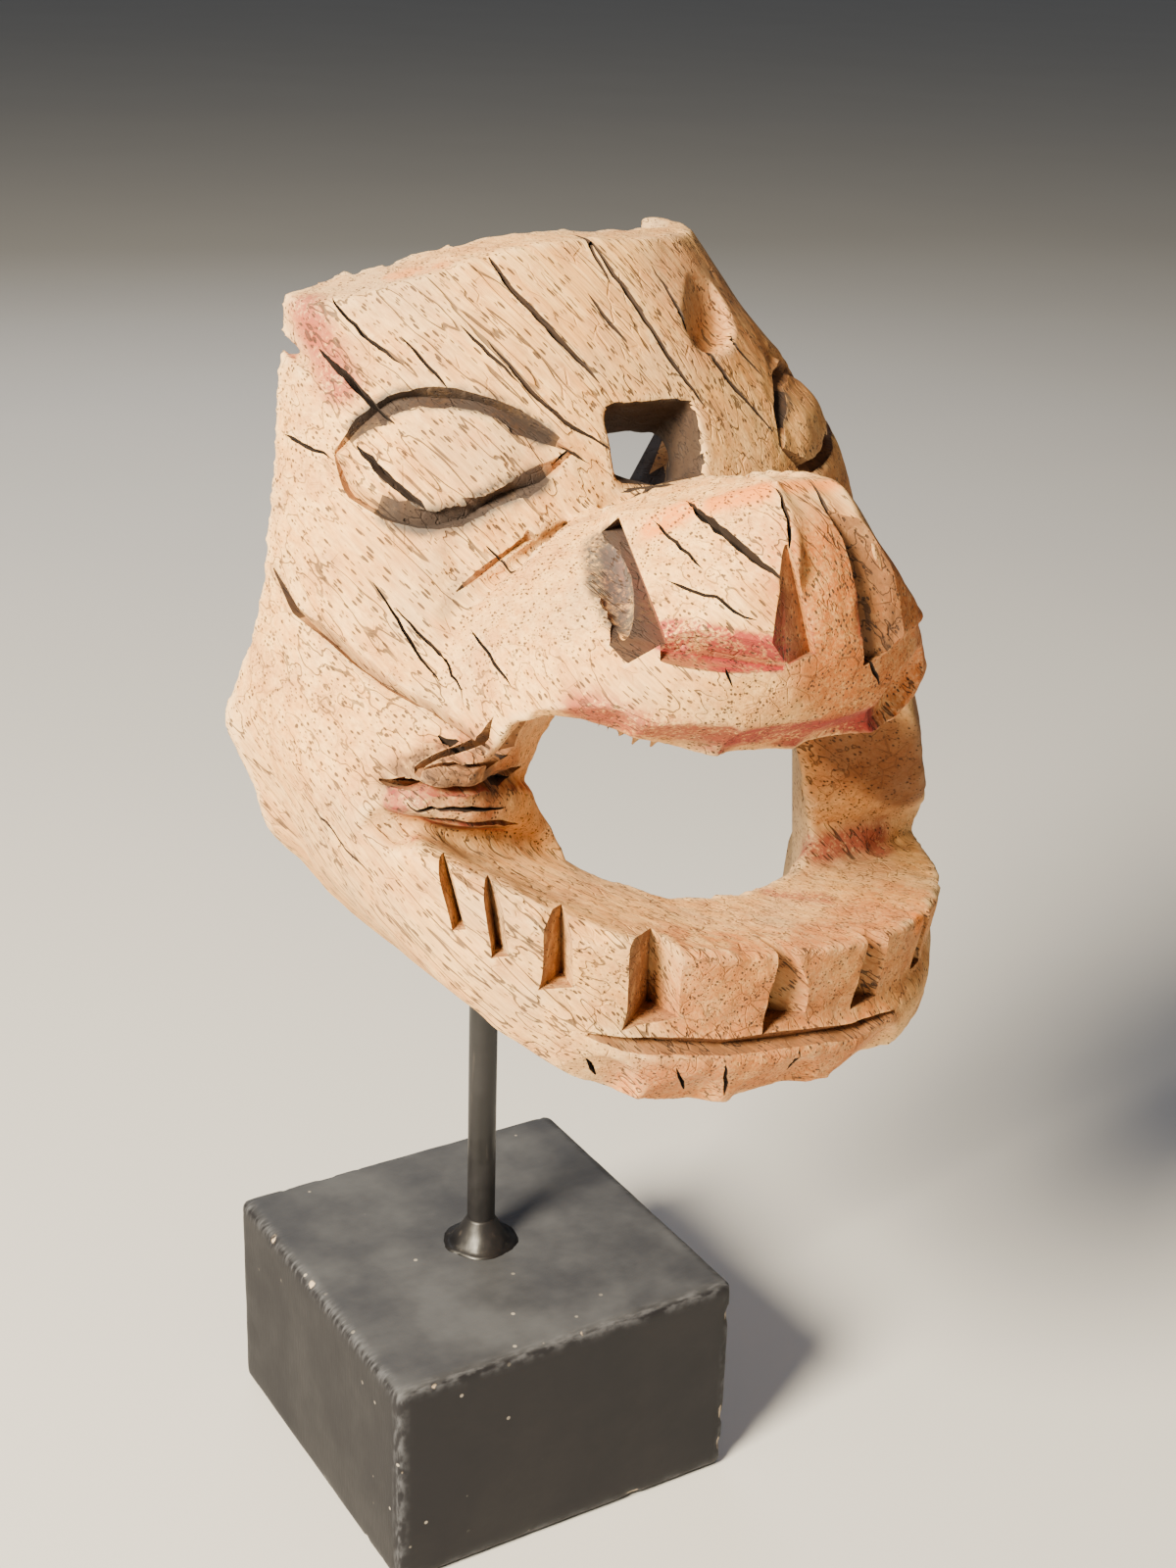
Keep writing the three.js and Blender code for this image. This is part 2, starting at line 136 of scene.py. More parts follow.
class Finish:
    """One material with a principled shader. node() adds any node, its settings first."""

    def __init__(self, name):
        self.material = bpy.data.materials.new(name)
        self.material.use_nodes = True
        self.tree = self.material.node_tree
        self.shader = self.tree.nodes["Principled BSDF"]
        self.place = self.node("ShaderNodeTexCoord", output="Object")

    def node(self, kind, settings=None, inputs=None, output=0):
        made = self.tree.nodes.new(kind)
        for name, value in (settings or {}).items():
            setattr(made, name, value)
        for name, value in (inputs or {}).items():
            self.connect(value, self.found(made.inputs, name))
        return Value(self, self.found(made.outputs, output))

    def found(self, sockets, name):
        """A socket by its number or by its identifier."""
        if isinstance(name, int):
            return sockets[name]
        return next(socket for socket in sockets if socket.identifier == name)

    def connect(self, value, socket):
        if isinstance(value, Value):
            self.tree.links.new(value.socket, socket)
        else:
            socket.default_value = value

    def maths(self, operation, *inputs):
        return self.node("ShaderNodeMath", {"operation": operation}, dict(enumerate(inputs)))

    def noise(self, place, scale, detail=2, roughness=0.5):
        inputs = {"Vector": place, "Scale": scale, "Detail": detail, "Roughness": roughness}
        return self.node("ShaderNodeTexNoise", None, inputs)

    def steps(self, value, low, high, start=0, end=1):
        """Rises softly from start to end as the value goes from low to high."""
        inputs = {"Value": value, "From Min": low, "From Max": high, "To Min": start, "To Max": end}
        return self.node("ShaderNodeMapRange", {"interpolation_type": "SMOOTHSTEP"}, inputs)

    def mix(self, share, first, second):
        inputs = {"Factor_Float": share, "A_Color": first, "B_Color": second}
        return self.node("ShaderNodeMix", {"data_type": "RGBA"}, inputs, "Result_Color")

    def set(self, name, value):
        self.connect(value, self.shader.inputs[name])

    def bump(self, height, distance, strength=1):
        inputs = {"Height": height, "Distance": distance, "Strength": strength}
        self.set("Normal", self.node("ShaderNodeBump", None, inputs))


def add_object(name, mesh):
    made = bpy.data.objects.new(name, mesh)
    bpy.context.scene.collection.objects.link(made)
    return made


floor_half_width = 12
floor_mesh = bmesh.new()
bmesh.ops.create_grid(floor_mesh, x_segments=1, y_segments=1, size=floor_half_width)
floor_data = bpy.data.meshes.new("floor")
floor_mesh.to_mesh(floor_data)
floor_mesh.free()
floor = add_object("floor", floor_data)
floor_finish = Finish("pale_paper")
mottle = floor_finish.noise(floor_finish.place, 3)
floor_finish.set("Base Color", floor_finish.mix(mottle, colour(206, 205, 203), colour(212, 211, 209)))
floor_finish.set("Roughness", 0.85)
floor_data.materials.append(floor_finish.material)

# ---------------------------------------------------------------- base block
# A square block sawn from one piece of wood, painted matt charcoal. Its edges are rubbed and chipped,
# and its top is paler with dust and with a painted sheen of sky light.

block_low, block_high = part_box("base_block")
block_size = block_high - block_low
edge_radius = 2.6 * mm
block_voxel = 1.6 * mm
worn_band = 5 * mm

block_mesh = bmesh.new()
bmesh.ops.create_cube(block_mesh, size=1)
bmesh.ops.scale(block_mesh, vec=block_size, verts=block_mesh.verts)
bmesh.ops.translate(block_mesh, vec=(block_low + block_high) / 2, verts=block_mesh.verts)
bmesh.ops.bevel(
    block_mesh, geom=block_mesh.edges[:], offset=edge_radius, affect="EDGES", segments=3, profile=0.5,
    material=-1,
)
bmesh.ops.triangulate(block_mesh, faces=block_mesh.faces[:])
block_data = bpy.data.meshes.new("painted_block")
block_mesh.to_mesh(block_data)
block_mesh.free()
block = add_object("painted_block", block_data)


def baked(piece):
    """Replaces a piece's mesh by the one that its modifiers make, and clears them."""
    bpy.context.view_layer.update()
    evaluated = piece.evaluated_get(bpy.context.evaluated_depsgraph_get())
    made = bpy.data.meshes.new_from_object(evaluated)
    piece.modifiers.clear()
    old = piece.data
    piece.data = made
    bpy.data.meshes.remove(old)


def remeshed(piece, voxel):
    """Turns a piece, with any bodies that overlap in it, into one even skin."""
    remesh = piece.modifiers.new("voxels", "REMESH")
    remesh.mode = "VOXEL"
    remesh.voxel_size = voxel
    remesh.use_smooth_shade = True
    baked(piece)


class Clay:
    """A mesh's vertices as arrays, for moving them and for painting masks on them."""

    def __init__(self, piece):
        self.mesh = piece.data
        count = len(self.mesh.vertices)
        self.points = np.empty(count * 3, np.float32)
        self.mesh.vertices.foreach_get("co", self.points)
        self.points = self.points.reshape(-1, 3).astype(float)
        edges = np.empty(len(self.mesh.edges) * 2, np.int32)
        self.mesh.edges.foreach_get("vertices", edges)
        self.edges = edges.reshape(-1, 2)
        self.degree = np.bincount(self.edges.ravel(), minlength=count).reshape(-1, 1)
        self.refresh()

    def refresh(self):
        self.mesh.vertices.foreach_set("co", self.points.astype(np.float32).ravel())
        self.mesh.update()
        normals = np.empty(len(self.points) * 3, np.float32)
        self.mesh.vertex_normals.foreach_get("vector", normals)
        self.normals = normals.reshape(-1, 3).astype(float)

    def neighbours(self, values):
        """The mean of each vertex's neighbours, for one number or three per vertex."""
        first, second = self.edges.T
        columns = []
        for column in values.T:
            total = np.bincount(first, column[second], len(column))
            total += np.bincount(second, column[first], len(column))
            columns.append(total)
        return np.stack(columns, 1) / self.degree

    def smooth(self, rounds, share):
        """share is how far each vertex goes to its neighbours' mean, one number or one per vertex."""
        for _ in range(rounds):
            self.points += share * (self.neighbours(self.points) - self.points)
        self.refresh()

    def raise_by(self, heights):
        self.points += self.normals * np.asarray(heights).reshape(-1, 1)
        self.refresh()

    def noise(self, size, turn=None, stretch=1, seed=0):
        """Noise of -1 to 1 at each vertex, with features of that size, stretched along turn's X axis."""
        places = self.points
        if turn is not None:
            places = places @ np.array(turn)
            places = places / (stretch, 1, 1)
        places = places / size + seed * 17.3
        return np.array([noise.noise(place) for place in places])

    def mask(self, name, *channels):
        """Stores up to four masks as one colour attribute."""
        layer = self.mesh.color_attributes.new(name, "FLOAT_COLOR", "POINT")
        columns = [np.clip(channel, 0, 1) for channel in channels]
        while len(columns) < 4:
            columns.append(np.ones(len(self.points)))
        layer.data.foreach_set("color", np.stack(columns, 1).astype(np.float32).ravel())


def rise(values, low, high):
    """0 below low, 1 above high, and a soft step between."""
    share = np.clip((values - low) / (high - low), 0, 1)
    return share * share * (3 - 2 * share)


remeshed(block, block_voxel)
block_clay = Clay(block)
block_middle = np.array((block_low + block_high) / 2)
inset = np.array(block_size) / 2 - np.abs(block_clay.points - block_middle)
edge_distance = np.sort(inset, axis=1)[:, 1]
edge_wear = 1 - rise(edge_distance, 0, worn_band)
block_clay.smooth(2, 0.5)
lumps = block_clay.noise(9 * mm, seed=1)
chips = rise(block_clay.noise(5 * mm, seed=2) + 0.5 * block_clay.noise(17 * mm, seed=3), 0.42, 0.7)
block_clay.raise_by(0.12 * mm * lumps - 0.25 * mm - edge_wear * (0.9 * mm * chips + 0.2 * mm))
block_clay.points[:, 2] = np.maximum(block_clay.points[:, 2], block_low.z)
block_clay.refresh()
# Upward faces are made paler: dust, and a painted sheen of sky light.
dust_and_sheen = rise(block_clay.normals[:, 2], 0.6, 0.95)
block_clay.mask("wear_and_sheen", edge_wear * chips, dust_and_sheen, edge_wear)
block_data = block.data

paint = Finish("charcoal_paint")
wear_and_sheen = paint.node("ShaderNodeAttribute", {"attribute_name": "wear_and_sheen"}, None, "Color")
chipped = paint.node("ShaderNodeSeparateColor", None, {"Color": wear_and_sheen}, "Red")
dusty_and_sheen = paint.node("ShaderNodeSeparateColor", None, {"Color": wear_and_sheen}, "Green")
rubbed = paint.node("ShaderNodeSeparateColor", None, {"Color": wear_and_sheen}, "Blue")
clouds = paint.noise(paint.place, 26, 4, 0.6)
brushing = paint.noise(
    paint.node("ShaderNodeMapping", None, {"Vector": paint.place, "Scale": (220, 900, 220)}), 1, 3
)
specks = paint.node(
    "ShaderNodeTexVoronoi", None, {"Vector": paint.place, "Scale": 95, "Randomness": 1}, "Distance"
)
speck = paint.steps(specks, 0.045, 0.075, 1, 0) * paint.steps(clouds, 0.45, 0.6)
base = paint.mix(clouds, colour(20, 19, 22), colour(36, 36, 40))
# Upward faces mix towards pale grey: dust and a painted sky sheen.
dust_and_sheen_share = dusty_and_sheen * paint.steps(clouds, 0.3, 0.75, 0.25, 0.85)
base = paint.mix(dust_and_sheen_share, base, colour(84, 86, 90))
base = paint.mix(rubbed * paint.steps(brushing, 0.4, 0.7) * 0.5, base, colour(110, 112, 118))
base = paint.mix(speck * 0.8, base, colour(168, 160, 148))
bare = paint.steps(chipped, 0.35, 0.6) * paint.steps(brushing, 0.35, 0.6)
base = paint.mix(bare, base, colour(196, 176, 150))
paint.set("Base Color", base)
paint.set("Specular IOR Level", 0.25)
paint.set("Roughness", paint.steps(clouds, 0.3, 0.7, 0.5, 0.72))
paint.bump(brushing * 0.3 + clouds * 0.5, 0.6 * mm, 0.5)
block_data.materials.clear()
block_data.materials.append(paint.material)
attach(block, "root")
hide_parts("base_block")

# ---------------------------------------------------------------- rod and filler
# A round steel bar, glued upright in the block and bent forward inside the mask to a blind socket in its
# forehead. Filler was pressed round its foot by hand and painted over. The paint is satin black.

rod_diameter = 9 * mm
rod_in_block = 45 * mm
bend_height = 336 * mm
bend_radius = 30 * mm
bend_slope = math.radians(45)
sloped_length = 46 * mm
mound_diameter = 26 * mm
mound_height = 9 * mm

rod_mesh = bmesh.new()
ring = bmesh.ops.create_circle(rod_mesh, cap_ends=True, segments=40, radius=rod_diameter / 2)["verts"]
rod_foot = Vector((0, 0, block_high.z - rod_in_block))
bmesh.ops.translate(rod_mesh, vec=rod_foot, verts=ring)
end_face = rod_mesh.faces[:]


def extend(face_list, move, turn=None, centre=None):
    """Grows the bar from its end face by a straight move or by a turn round a centre."""
    grown = bmesh.ops.extrude_face_region(rod_mesh, geom=face_list)["geom"]
    verts = [part for part in grown if isinstance(part, bmesh.types.BMVert)]
    bmesh.ops.delete(rod_mesh, geom=[face for face in face_list if face.is_valid], context="FACES_ONLY")
    if turn is None:
        bmesh.ops.translate(rod_mesh, vec=move, verts=verts)
    else:
        bmesh.ops.rotate(rod_mesh, cent=centre, matrix=turn, verts=verts)
    return [part for part in grown if isinstance(part, bmesh.types.BMFace)]


bmesh.ops.duplicate(rod_mesh, geom=end_face)  # closes the bar's foot
straight_steps = 12
bend_steps = 8
for _ in range(straight_steps):
    end_face = extend(end_face, Vector((0, 0, (bend_height - rod_foot.z) / straight_steps)))
bend_centre = Vector((0, -bend_radius, bend_height))
for _ in range(bend_steps):
    end_face = extend(end_face, None, Matrix.Rotation(bend_slope / bend_steps, 3, "X"), bend_centre)
tip_way = Vector((0, -math.sin(bend_slope), math.cos(bend_slope)))
end_face = extend(end_face, tip_way * sloped_length)
bmesh.ops.remove_doubles(rod_mesh, verts=rod_mesh.verts, dist=1e-6)
bmesh.ops.recalc_face_normals(rod_mesh, faces=rod_mesh.faces)
rod_data = bpy.data.meshes.new("bent_rod")
rod_mesh.to_mesh(rod_data)
rod_mesh.free()
rod_data.shade_smooth()
rod_data.set_sharp_from_angle(angle=math.radians(40))
rod = add_object("bent_rod", rod_data)

mound_mesh = bmesh.new()
profile_steps = 12
profile = []
for step in range(profile_steps + 1):
    along = step / profile_steps
    radius = (mound_diameter + (rod_diameter - mound_diameter) * along**0.5) / 2
    profile.append(mound_mesh.verts.new((radius, 0, block_high.z + mound_height * along)))
for lower, upper in zip(profile, profile[1:]):
    mound_mesh.edges.new((lower, upper))
bmesh.ops.spin(
    mound_mesh, geom=mound_mesh.verts[:] + mound_mesh.edges[:], cent=(0, 0, 0), axis=(0, 0, 1),
    angle=math.tau, steps=48, use_merge=True,
)
bmesh.ops.holes_fill(mound_mesh, edges=mound_mesh.edges)
bmesh.ops.recalc_face_normals(mound_mesh, faces=mound_mesh.faces)
for vert in mound_mesh.verts:
    height_share = (vert.co.z - block_high.z) / mound_height
    lump = 1.4 * mm * noise.noise(vert.co * 130) + 0.5 * mm * noise.noise(vert.co * 400)
    outward = Vector((vert.co.x, vert.co.y, 0)).normalized()
    vert.co += outward * lump * (1 - height_share) - Vector((0, 0, 0.6 * mm)) * (1 - height_share)
mound_data = bpy.data.meshes.new("filler_mound")
mound_mesh.to_mesh(mound_data)
mound_mesh.free()
mound_data.shade_smooth()
mound = add_object("filler_mound", mound_data)

satin = Finish("satin_black")
grime = satin.noise(satin.place, 60, 4, 0.6)
runs = satin.noise(
    satin.node("ShaderNodeMapping", None, {"Vector": satin.place, "Scale": (500, 500, 40)}), 1, 3
)
black = satin.mix(satin.steps(grime, 0.35, 0.7), colour(15, 14, 15), colour(30, 29, 31))
black = satin.mix(satin.steps(runs, 0.62, 0.72, 0, 0.5), black, colour(64, 58, 54))
satin.set("Base Color", black)
satin.set("Roughness", satin.steps(grime, 0.3, 0.7, 0.32, 0.5))
satin.bump(grime * 0.6 + runs * 0.4, 0.25 * mm, 0.6)
for piece in (rod, mound):
    piece.data.materials.append(satin.material)
    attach(piece, "root")
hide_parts("rod")

# ---------------------------------------------------------------- mask: the carved shell
# One carving in a pale, open-grained wood: a curved shell with a muzzle, hollowed from behind. Its flats
# were cut with a broad knife, and years of weather have rounded every edge.

pivot = Vector((0, 0, 290 * mm))
hang = (
    Matrix.Translation(pivot)
    @ Matrix.Rotation(math.radians(3), 4, "Z")
    @ Matrix.Rotation(math.radians(3), 4, "Y")
    @ Matrix.Translation(-pivot)
)
grain_way = Vector((0.477, -0.650, -0.591))
grain = (hang.to_3x3() @ grain_way).normalized()
grain_turn = grain.to_track_quat("X", "Z")
grain_axes = grain_turn.to_matrix()


def carved(across, reach, height):
    """A place on the carving in mm, as it was before it was hung askew: sideways, forwards and up."""
    return hang @ (Vector((across, -reach, height)) * mm)


def faced(across, reach, height):
    """A direction on the carving, sideways, forwards and up, as it is in the room."""
    return (hang.to_3x3() @ Vector((across, -reach, height))).normalized()


shell = bmesh.new()
shell.from_mesh(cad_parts["mask"].data)
bmesh.ops.remove_doubles(shell, verts=shell.verts, dist=0.01 * mm)
crisp_edge_angle = math.radians(24)
crisp_places = []
for edge in shell.edges:
    if len(edge.link_faces) == 2 and edge.calc_face_angle(0) > crisp_edge_angle:
        first, second = (vert.co for vert in edge.verts)
        pieces = max(1, round((second - first).length / (2 * mm)))
        crisp_places += [first.lerp(second, step / pieces) for step in range(pieces + 1)]
crisp = KDTree(len(crisp_places))
for index, place in enumerate(crisp_places):
    crisp.insert(place, index)
crisp.balance()


def add_body(mesh, rings):
    """Adds a closed body through rings that all have the same number of corners."""
    ring = bmesh.ops.create_circle(mesh, cap_ends=True, segments=len(rings[0]), radius=mm)["verts"]
    faces = [ring[0].link_faces[0]]
    all_faces = set(faces)
    for number, corners in enumerate(rings):
        if number:
            grown = bmesh.ops.extrude_face_region(mesh, geom=faces)["geom"]
            grown_verts = {part for part in grown if isinstance(part, bmesh.types.BMVert)}
            linked = [[edge.other_vert(vert) for edge in vert.link_edges] for vert in ring]
            ring = [next(vert for vert in verts if vert in grown_verts) for verts in linked]
            if number > 1:
                all_faces -= set(faces)
                bmesh.ops.delete(mesh, geom=faces, context="FACES_ONLY")
            faces = [part for part in grown if isinstance(part, bmesh.types.BMFace)]
            all_faces |= {face for vert in ring for face in vert.link_faces}
        for vert, corner in zip(ring, corners):
            vert.co = corner
    bmesh.ops.recalc_face_normals(mesh, faces=list(all_faces))


# The arcs of the gum's edge and of the teeth's foot, in carving mm: the middle, the two rims, how square
# the arc is, and how it leans to one side.
gum_arc = {
    "middle": (6, 143, 239), "near": (-95, 37, 262), "far": (104, 42, 246), "square": 2.4, "lean": 0.12,
}
foot_arc = {
    "middle": (6, 139, 217), "near": (-91, 40, 253), "far": (102, 42, 236), "square": 2.5, "lean": 0.1,
}


def arc_place(arc, across):
    """The place on an arc at a given place across."""
    middle, rim = arc["middle"], arc["near" if across < arc["middle"][0] else "far"]
    sideways = ((across - middle[0]) / (rim[0] - middle[0])) ** (arc["square"] / 2)
    forwards = math.sqrt(1 - sideways**2)
    reach = rim[1] + (middle[1] - rim[1]) * forwards ** (2 / arc["square"])
    return across, reach, rim[2] + (middle[2] - rim[2]) * forwards**2 - across * arc["lean"]


hollow_axis = np.array((2, -12))  # sideways and Y, in carving mm


def outwards(place):
    """The level way out of the hollow at a place."""
    way = Vector((place[0] - hollow_axis[0], place[1] + hollow_axis[1], 0))
    return way.normalized()


# The row of teeth before its gaps were cut.
band_thickness = 13
tooth_band = []
for across in range(-82, 93, 6):
    gum, foot = Vector(arc_place(gum_arc, across)), Vector(arc_place(foot_arc, across))
    inward = -outwards(gum) * band_thickness
    tooth_band.append([carved(*corner) for corner in (gum, foot, foot + inward, gum + inward)])
add_body(shell, tooth_band)

# The layers that the near mouth corner split into, in carving mm. Each layer: place across, then its back
# and front reach, and its foot and top height.
lower_layer = [
    (-84, 90, 97, 272, 276), (-66, 82, 101, 266, 277), (-50, 78, 97, 263, 275), (-43, 78, 93, 260, 272),
    (-39, 80, 92, 257, 269), (-34, 82, 91, 254, 263), (-29, 84, 92, 250, 256),
]
upper_layer = [
    (-79, 92, 101, 280, 285), (-66, 84, 103, 279, 289), (-52, 80, 98, 279, 288), (-44, 80, 92, 277, 283),
    (-41, 81, 88, 276, 280),
]
for layer in (lower_layer, upper_layer):
    rings = []
    for across, back, front, foot, top in layer:
        rings.append([
            carved(across, front, foot), carved(across, front, top),
            carved(across, back, top), carved(across, back, foot),
        ])
    add_body(shell, rings)
mask_data = bpy.data.meshes.new("carved_mask")
shell.to_mesh(mask_data)
shell.free()
mask = add_object("carved_mask", mask_data)
mask_voxel = 1.19 * mm
remeshed(mask, mask_voxel)

to_carving = np.array(hang.inverted())


def on_carving(places):
    """Places in the room as carving mm: sideways, Y and up."""
    return (places @ to_carving[:3, :3].T + to_carving[:3, 3]) / mm


def ways_on_carving(ways):
    return ways @ to_carving[:3, :3].T


def inner_share(clay):
    """1 on the hollow's wall, 0 on the face."""
    local = on_carving(clay.points)
    normals = ways_on_carving(clay.normals)
    away = local[:, :2] - hollow_axis
    away /= np.linalg.norm(away, axis=1).reshape(-1, 1)
    return 1 - rise((away * normals[:, :2]).sum(1), -0.45, -0.15)


# The hollow is plain, so its mesh is thinned out.
hollow_group = mask.vertex_groups.new(name="hollow")
for index, share in enumerate(inner_share(Clay(mask))):
    if share > 0.5:
        hollow_group.add([index], 1, "REPLACE")
least_share_kept = 0.58
thin_out = mask.modifiers.new("thin_out", "DECIMATE")
thin_out.ratio = least_share_kept
thin_out.vertex_group = "hollow"
thin_out.use_collapse_triangulate = True
baked(mask)

clay = Clay(mask)
# Every edge that was sharp keeps its crispness, and the skin between them is rounded.
crisp_band, soft_from = 0.8 * mm, 8 * mm
crisp_distance = np.array([crisp.find(place)[2] for place in clay.points])
clay.smooth(30, 0.6 * rise(crisp_distance, crisp_band, soft_from).reshape(-1, 1))
clay.smooth(1, 0.5)

# ---------------------------------------------------------------- mask: the knife's work
# The nose's wings, the lids and the cheek lines were cut last, with the knife's point. Everywhere else
# the knife left short flats.


def path_places(places, spacing=0.7 * mm):
    """Evenly spaced places along a path in carving mm, and how far along it each is, from 0 to 1."""
    corners = np.array([carved(*place) for place in places])
    if len(corners) == 1:
        return corners, np.array([0.5])
    lengths = np.concatenate(([0], np.cumsum(np.linalg.norm(np.diff(corners, axis=0), axis=1))))
    steps = np.linspace(0, lengths[-1], max(2, round(lengths[-1] / spacing)))
    return np.stack([np.interp(steps, lengths, column) for column in corners.T], 1), steps / lengths[-1]


def beside(clay, places, reach, tall=9 * mm):
    """The vertices within reach of a path, measured along the surface: their numbers, distances and how
    far along the path each lies."""
    path, shares = path_places(places)
    low, high = path.min(0) - reach - tall, path.max(0) + reach + tall
    near = np.flatnonzero(((clay.points > low) & (clay.points < high)).all(1))
    offsets = clay.points[near, None] - path[None]
    heights = (offsets * clay.normals[near, None]).sum(2)
    distances = np.sqrt(np.maximum((offsets**2).sum(2) - heights**2, 0))
    distances[np.abs(heights) > tall] = 1
    nearest = distances.argmin(1)
    distance = distances[np.arange(len(near)), nearest]
    kept = distance < reach
    return near[kept], distance[kept], shares[nearest[kept]]


def cut_groove(places, half_width, depth, fade=0.25):
    """A V-shaped cut along a path, running out over a share of its length at both ends."""
    near, distance, share = beside(clay, places, half_width)
    fullness = rise(np.minimum(share, 1 - share), -0.02, fade)
    heights = np.zeros(len(clay.points))
    heights[near] = -depth * fullness * np.clip(1 - distance / half_width, 0, 1) ** 1.2
    clay.raise_by(heights)


def swell(places, radius, height):
    """A soft rise, or with a negative height a hollow, round a path."""
    near, distance, _ = beside(clay, places, radius, 16 * mm)
    heights = np.zeros(len(clay.points))
    heights[near] = height * (1 - rise(distance, 0, radius))
    clay.raise_by(heights)


def clay_tree(clay):
    """The clay's surface, to look up the nearest place on it or to cast rays at."""
    faces = [tuple(face.vertices) for face in clay.mesh.polygons]
    return BVHTree.FromPolygons([tuple(place) for place in clay.points], faces)


def shave(centre, normal, radius, depth):
    """A flat from one knife cut: what stands above its plane near the place is taken off."""
    offsets = clay.points - centre
    distance = np.linalg.norm(offsets, axis=1)
    heights = offsets @ normal
    surplus = heights + depth * (1 - rise(distance, 0.65 * radius, radius))
    cut = (distance < radius) & (surplus > 0) & (clay.normals @ normal > 0.35)
    clay.points[cut] -= np.outer(surplus[cut], normal)


def calm(places, radius, rounds):
    """Smooths the surface round a path."""
    near, distance, _ = beside(clay, places, radius, 14 * mm)
    share = np.zeros((len(clay.points), 1))
    share[near, 0] = 0.6 * (1 - rise(distance, 0.5 * radius, radius))
    clay.smooth(rounds, share)


# The steps at the near end of the gum, beside the near wing and on both sides of the septum are evened out
# before the knife cuts them again.
calm([(-78, 98, 264), (-70, 104, 260)], 14 * mm, 16)
calm([(-31, 98, 341), (-36, 112, 330), (-42, 130, 320)], 9 * mm, 12)
calm([(-12, 139, 357), (-11, 150, 340), (-10, 152, 320)], 7 * mm, 14)
calm([(3, 137, 358), (8, 149, 338), (13, 153, 319)], 8 * mm, 14)
swell([(-97, 34, 274), (-94, 38, 262), (-90, 41, 252)], 15 * mm, 3.5 * mm)  # the near cheek's rim

# The upper and the lower lid's line of each eye, in carving mm, from corner to corner.
near_lids = [
    [
        (-75, 44, 348), (-70, 46, 355), (-63, 49, 361), (-57, 53, 363), (-49, 58, 363), (-41, 64, 361),
        (-33, 72, 357), (-26, 76, 353),
    ],
    [
        (-75, 44, 348), (-75, 52, 341), (-69, 61, 337), (-62, 65, 335), (-53, 69, 337), (-45, 72, 342),
        (-36, 75, 346), (-26, 76, 353),
    ],
]
far_lids = [
    [(42, 72, 348), (45, 70, 358), (51, 64, 367), (60, 56, 369), (72, 46, 364), (84, 34, 355)],
    [(42, 72, 348), (52, 70, 343), (64, 62, 343), (76, 50, 348), (84, 34, 355)],
]
swell([(-62, 56, 349), (-45, 68, 351)], 12 * mm, 1.2 * mm)
swell([(56, 66, 355), (68, 56, 356)], 11 * mm, 2 * mm)
cheek_line = [
    (-88, 36, 318), (-87, 47, 310), (-82, 59, 305), (-78, 67, 300), (-67, 90, 292), (-63, 104, 289),
]
cut_groove([(-59, 70, 333), (-56, 74, 326), (-60, 74, 321), (-64, 74, 316)], 4 * mm, 1.4 * mm)

# The gum's edge is worn away on the near side, and only blunted elsewhere.
for across in range(-80, 90, 5):
    edge_place = arc_place(gum_arc, across)
    slope = outwards(edge_place) + Vector((0, 0, 1))
    worn_depth = 3.2 if across < -45 else 0.8
    shave(np.array(carved(*edge_place)), np.array(faced(*slope)), 8 * mm, worn_depth * mm)
clay.refresh()

# Single flats, five along the upper lip, one in the far brow and four under the teeth: the place, the way
# that each faces, its radius and its depth in mm.
knife_flats = [
    ((-52, 123, 300), (-0.45, 0.5, -0.75), 16, 2.7),
    ((-32, 138, 298), (-0.25, 0.55, -0.8), 18, 3.1),
    ((-8, 144, 296), (-0.05, 0.6, -0.8), 18, 3.1),
    ((14, 145, 296), (0.15, 0.6, -0.8), 16, 2.7),
    ((33, 142, 306), (0.5, 0.6, -0.55), 15, 3.7),
    ((24, 57, 386), (0.55, 0.75, 0.35), 14, 2.0),
    ((-46, 130, 204), (-0.35, 0.75, -0.5), 13, 2.4),
    ((-22, 138, 197), (-0.1, 0.8, -0.6), 13, 2.7),
    ((8, 140, 196), (0.05, 0.8, -0.6), 15, 2.4),
    ((40, 132, 198), (0.3, 0.75, -0.55), 15, 2.4),
]
for place, facing, radius, depth in knife_flats:
    centre = clay_tree(clay).find_nearest(carved(*place))[0]
    shave(np.array(centre), np.array(faced(*facing)), radius * mm, depth * mm)
clay.refresh()
calm([(-52, 123, 297), (-32, 138, 294), (-8, 144, 292), (14, 145, 292)], 7 * mm, 4)
clay.smooth(1, 0.35)

# ---------------------------------------------------------------- mask: weather and splits
# The wood has dried along its fibres, which run slantwise through the whole carving. Its rims and the near
# mouth corner have crumbled, and long splits follow the fibres.

ridges = clay.noise(2.2 * mm, grain_axes, 9, seed=1)
lumps = clay.noise(11 * mm, seed=2)
crumbs = clay.noise(4.5 * mm, grain_axes, 2, seed=3)
crisp_distance = np.array([crisp.find(place)[2] for place in clay.points])
rims = 1 - rise(crisp_distance, 1 * mm, 7 * mm)
clay.raise_by(0.16 * mm * ridges + 0.35 * mm * lumps + rims * 0.45 * mm * crumbs)

corner_path = [(-80, 90, 278), (-70, 96, 281), (-62, 99, 279), (-54, 92, 276)]
near, distance, _ = beside(clay, corner_path, 15 * mm, 14 * mm)
crumbled = np.zeros(len(clay.points))
crumbled[near] = 1 - rise(distance, 5 * mm, 13 * mm)
flakes = clay.noise(3.2 * mm, grain_axes, 6, seed=4)
clay.raise_by(crumbled * 0.25 * mm * flakes)


def snapped(tree, places, spacing):
    """The surface's places and normals nearest to a path."""
    found = [tree.find_nearest(Vector(place)) for place in path_places(places, spacing)[0]]
    return [hit[0] for hit in found], [hit[1] for hit in found]


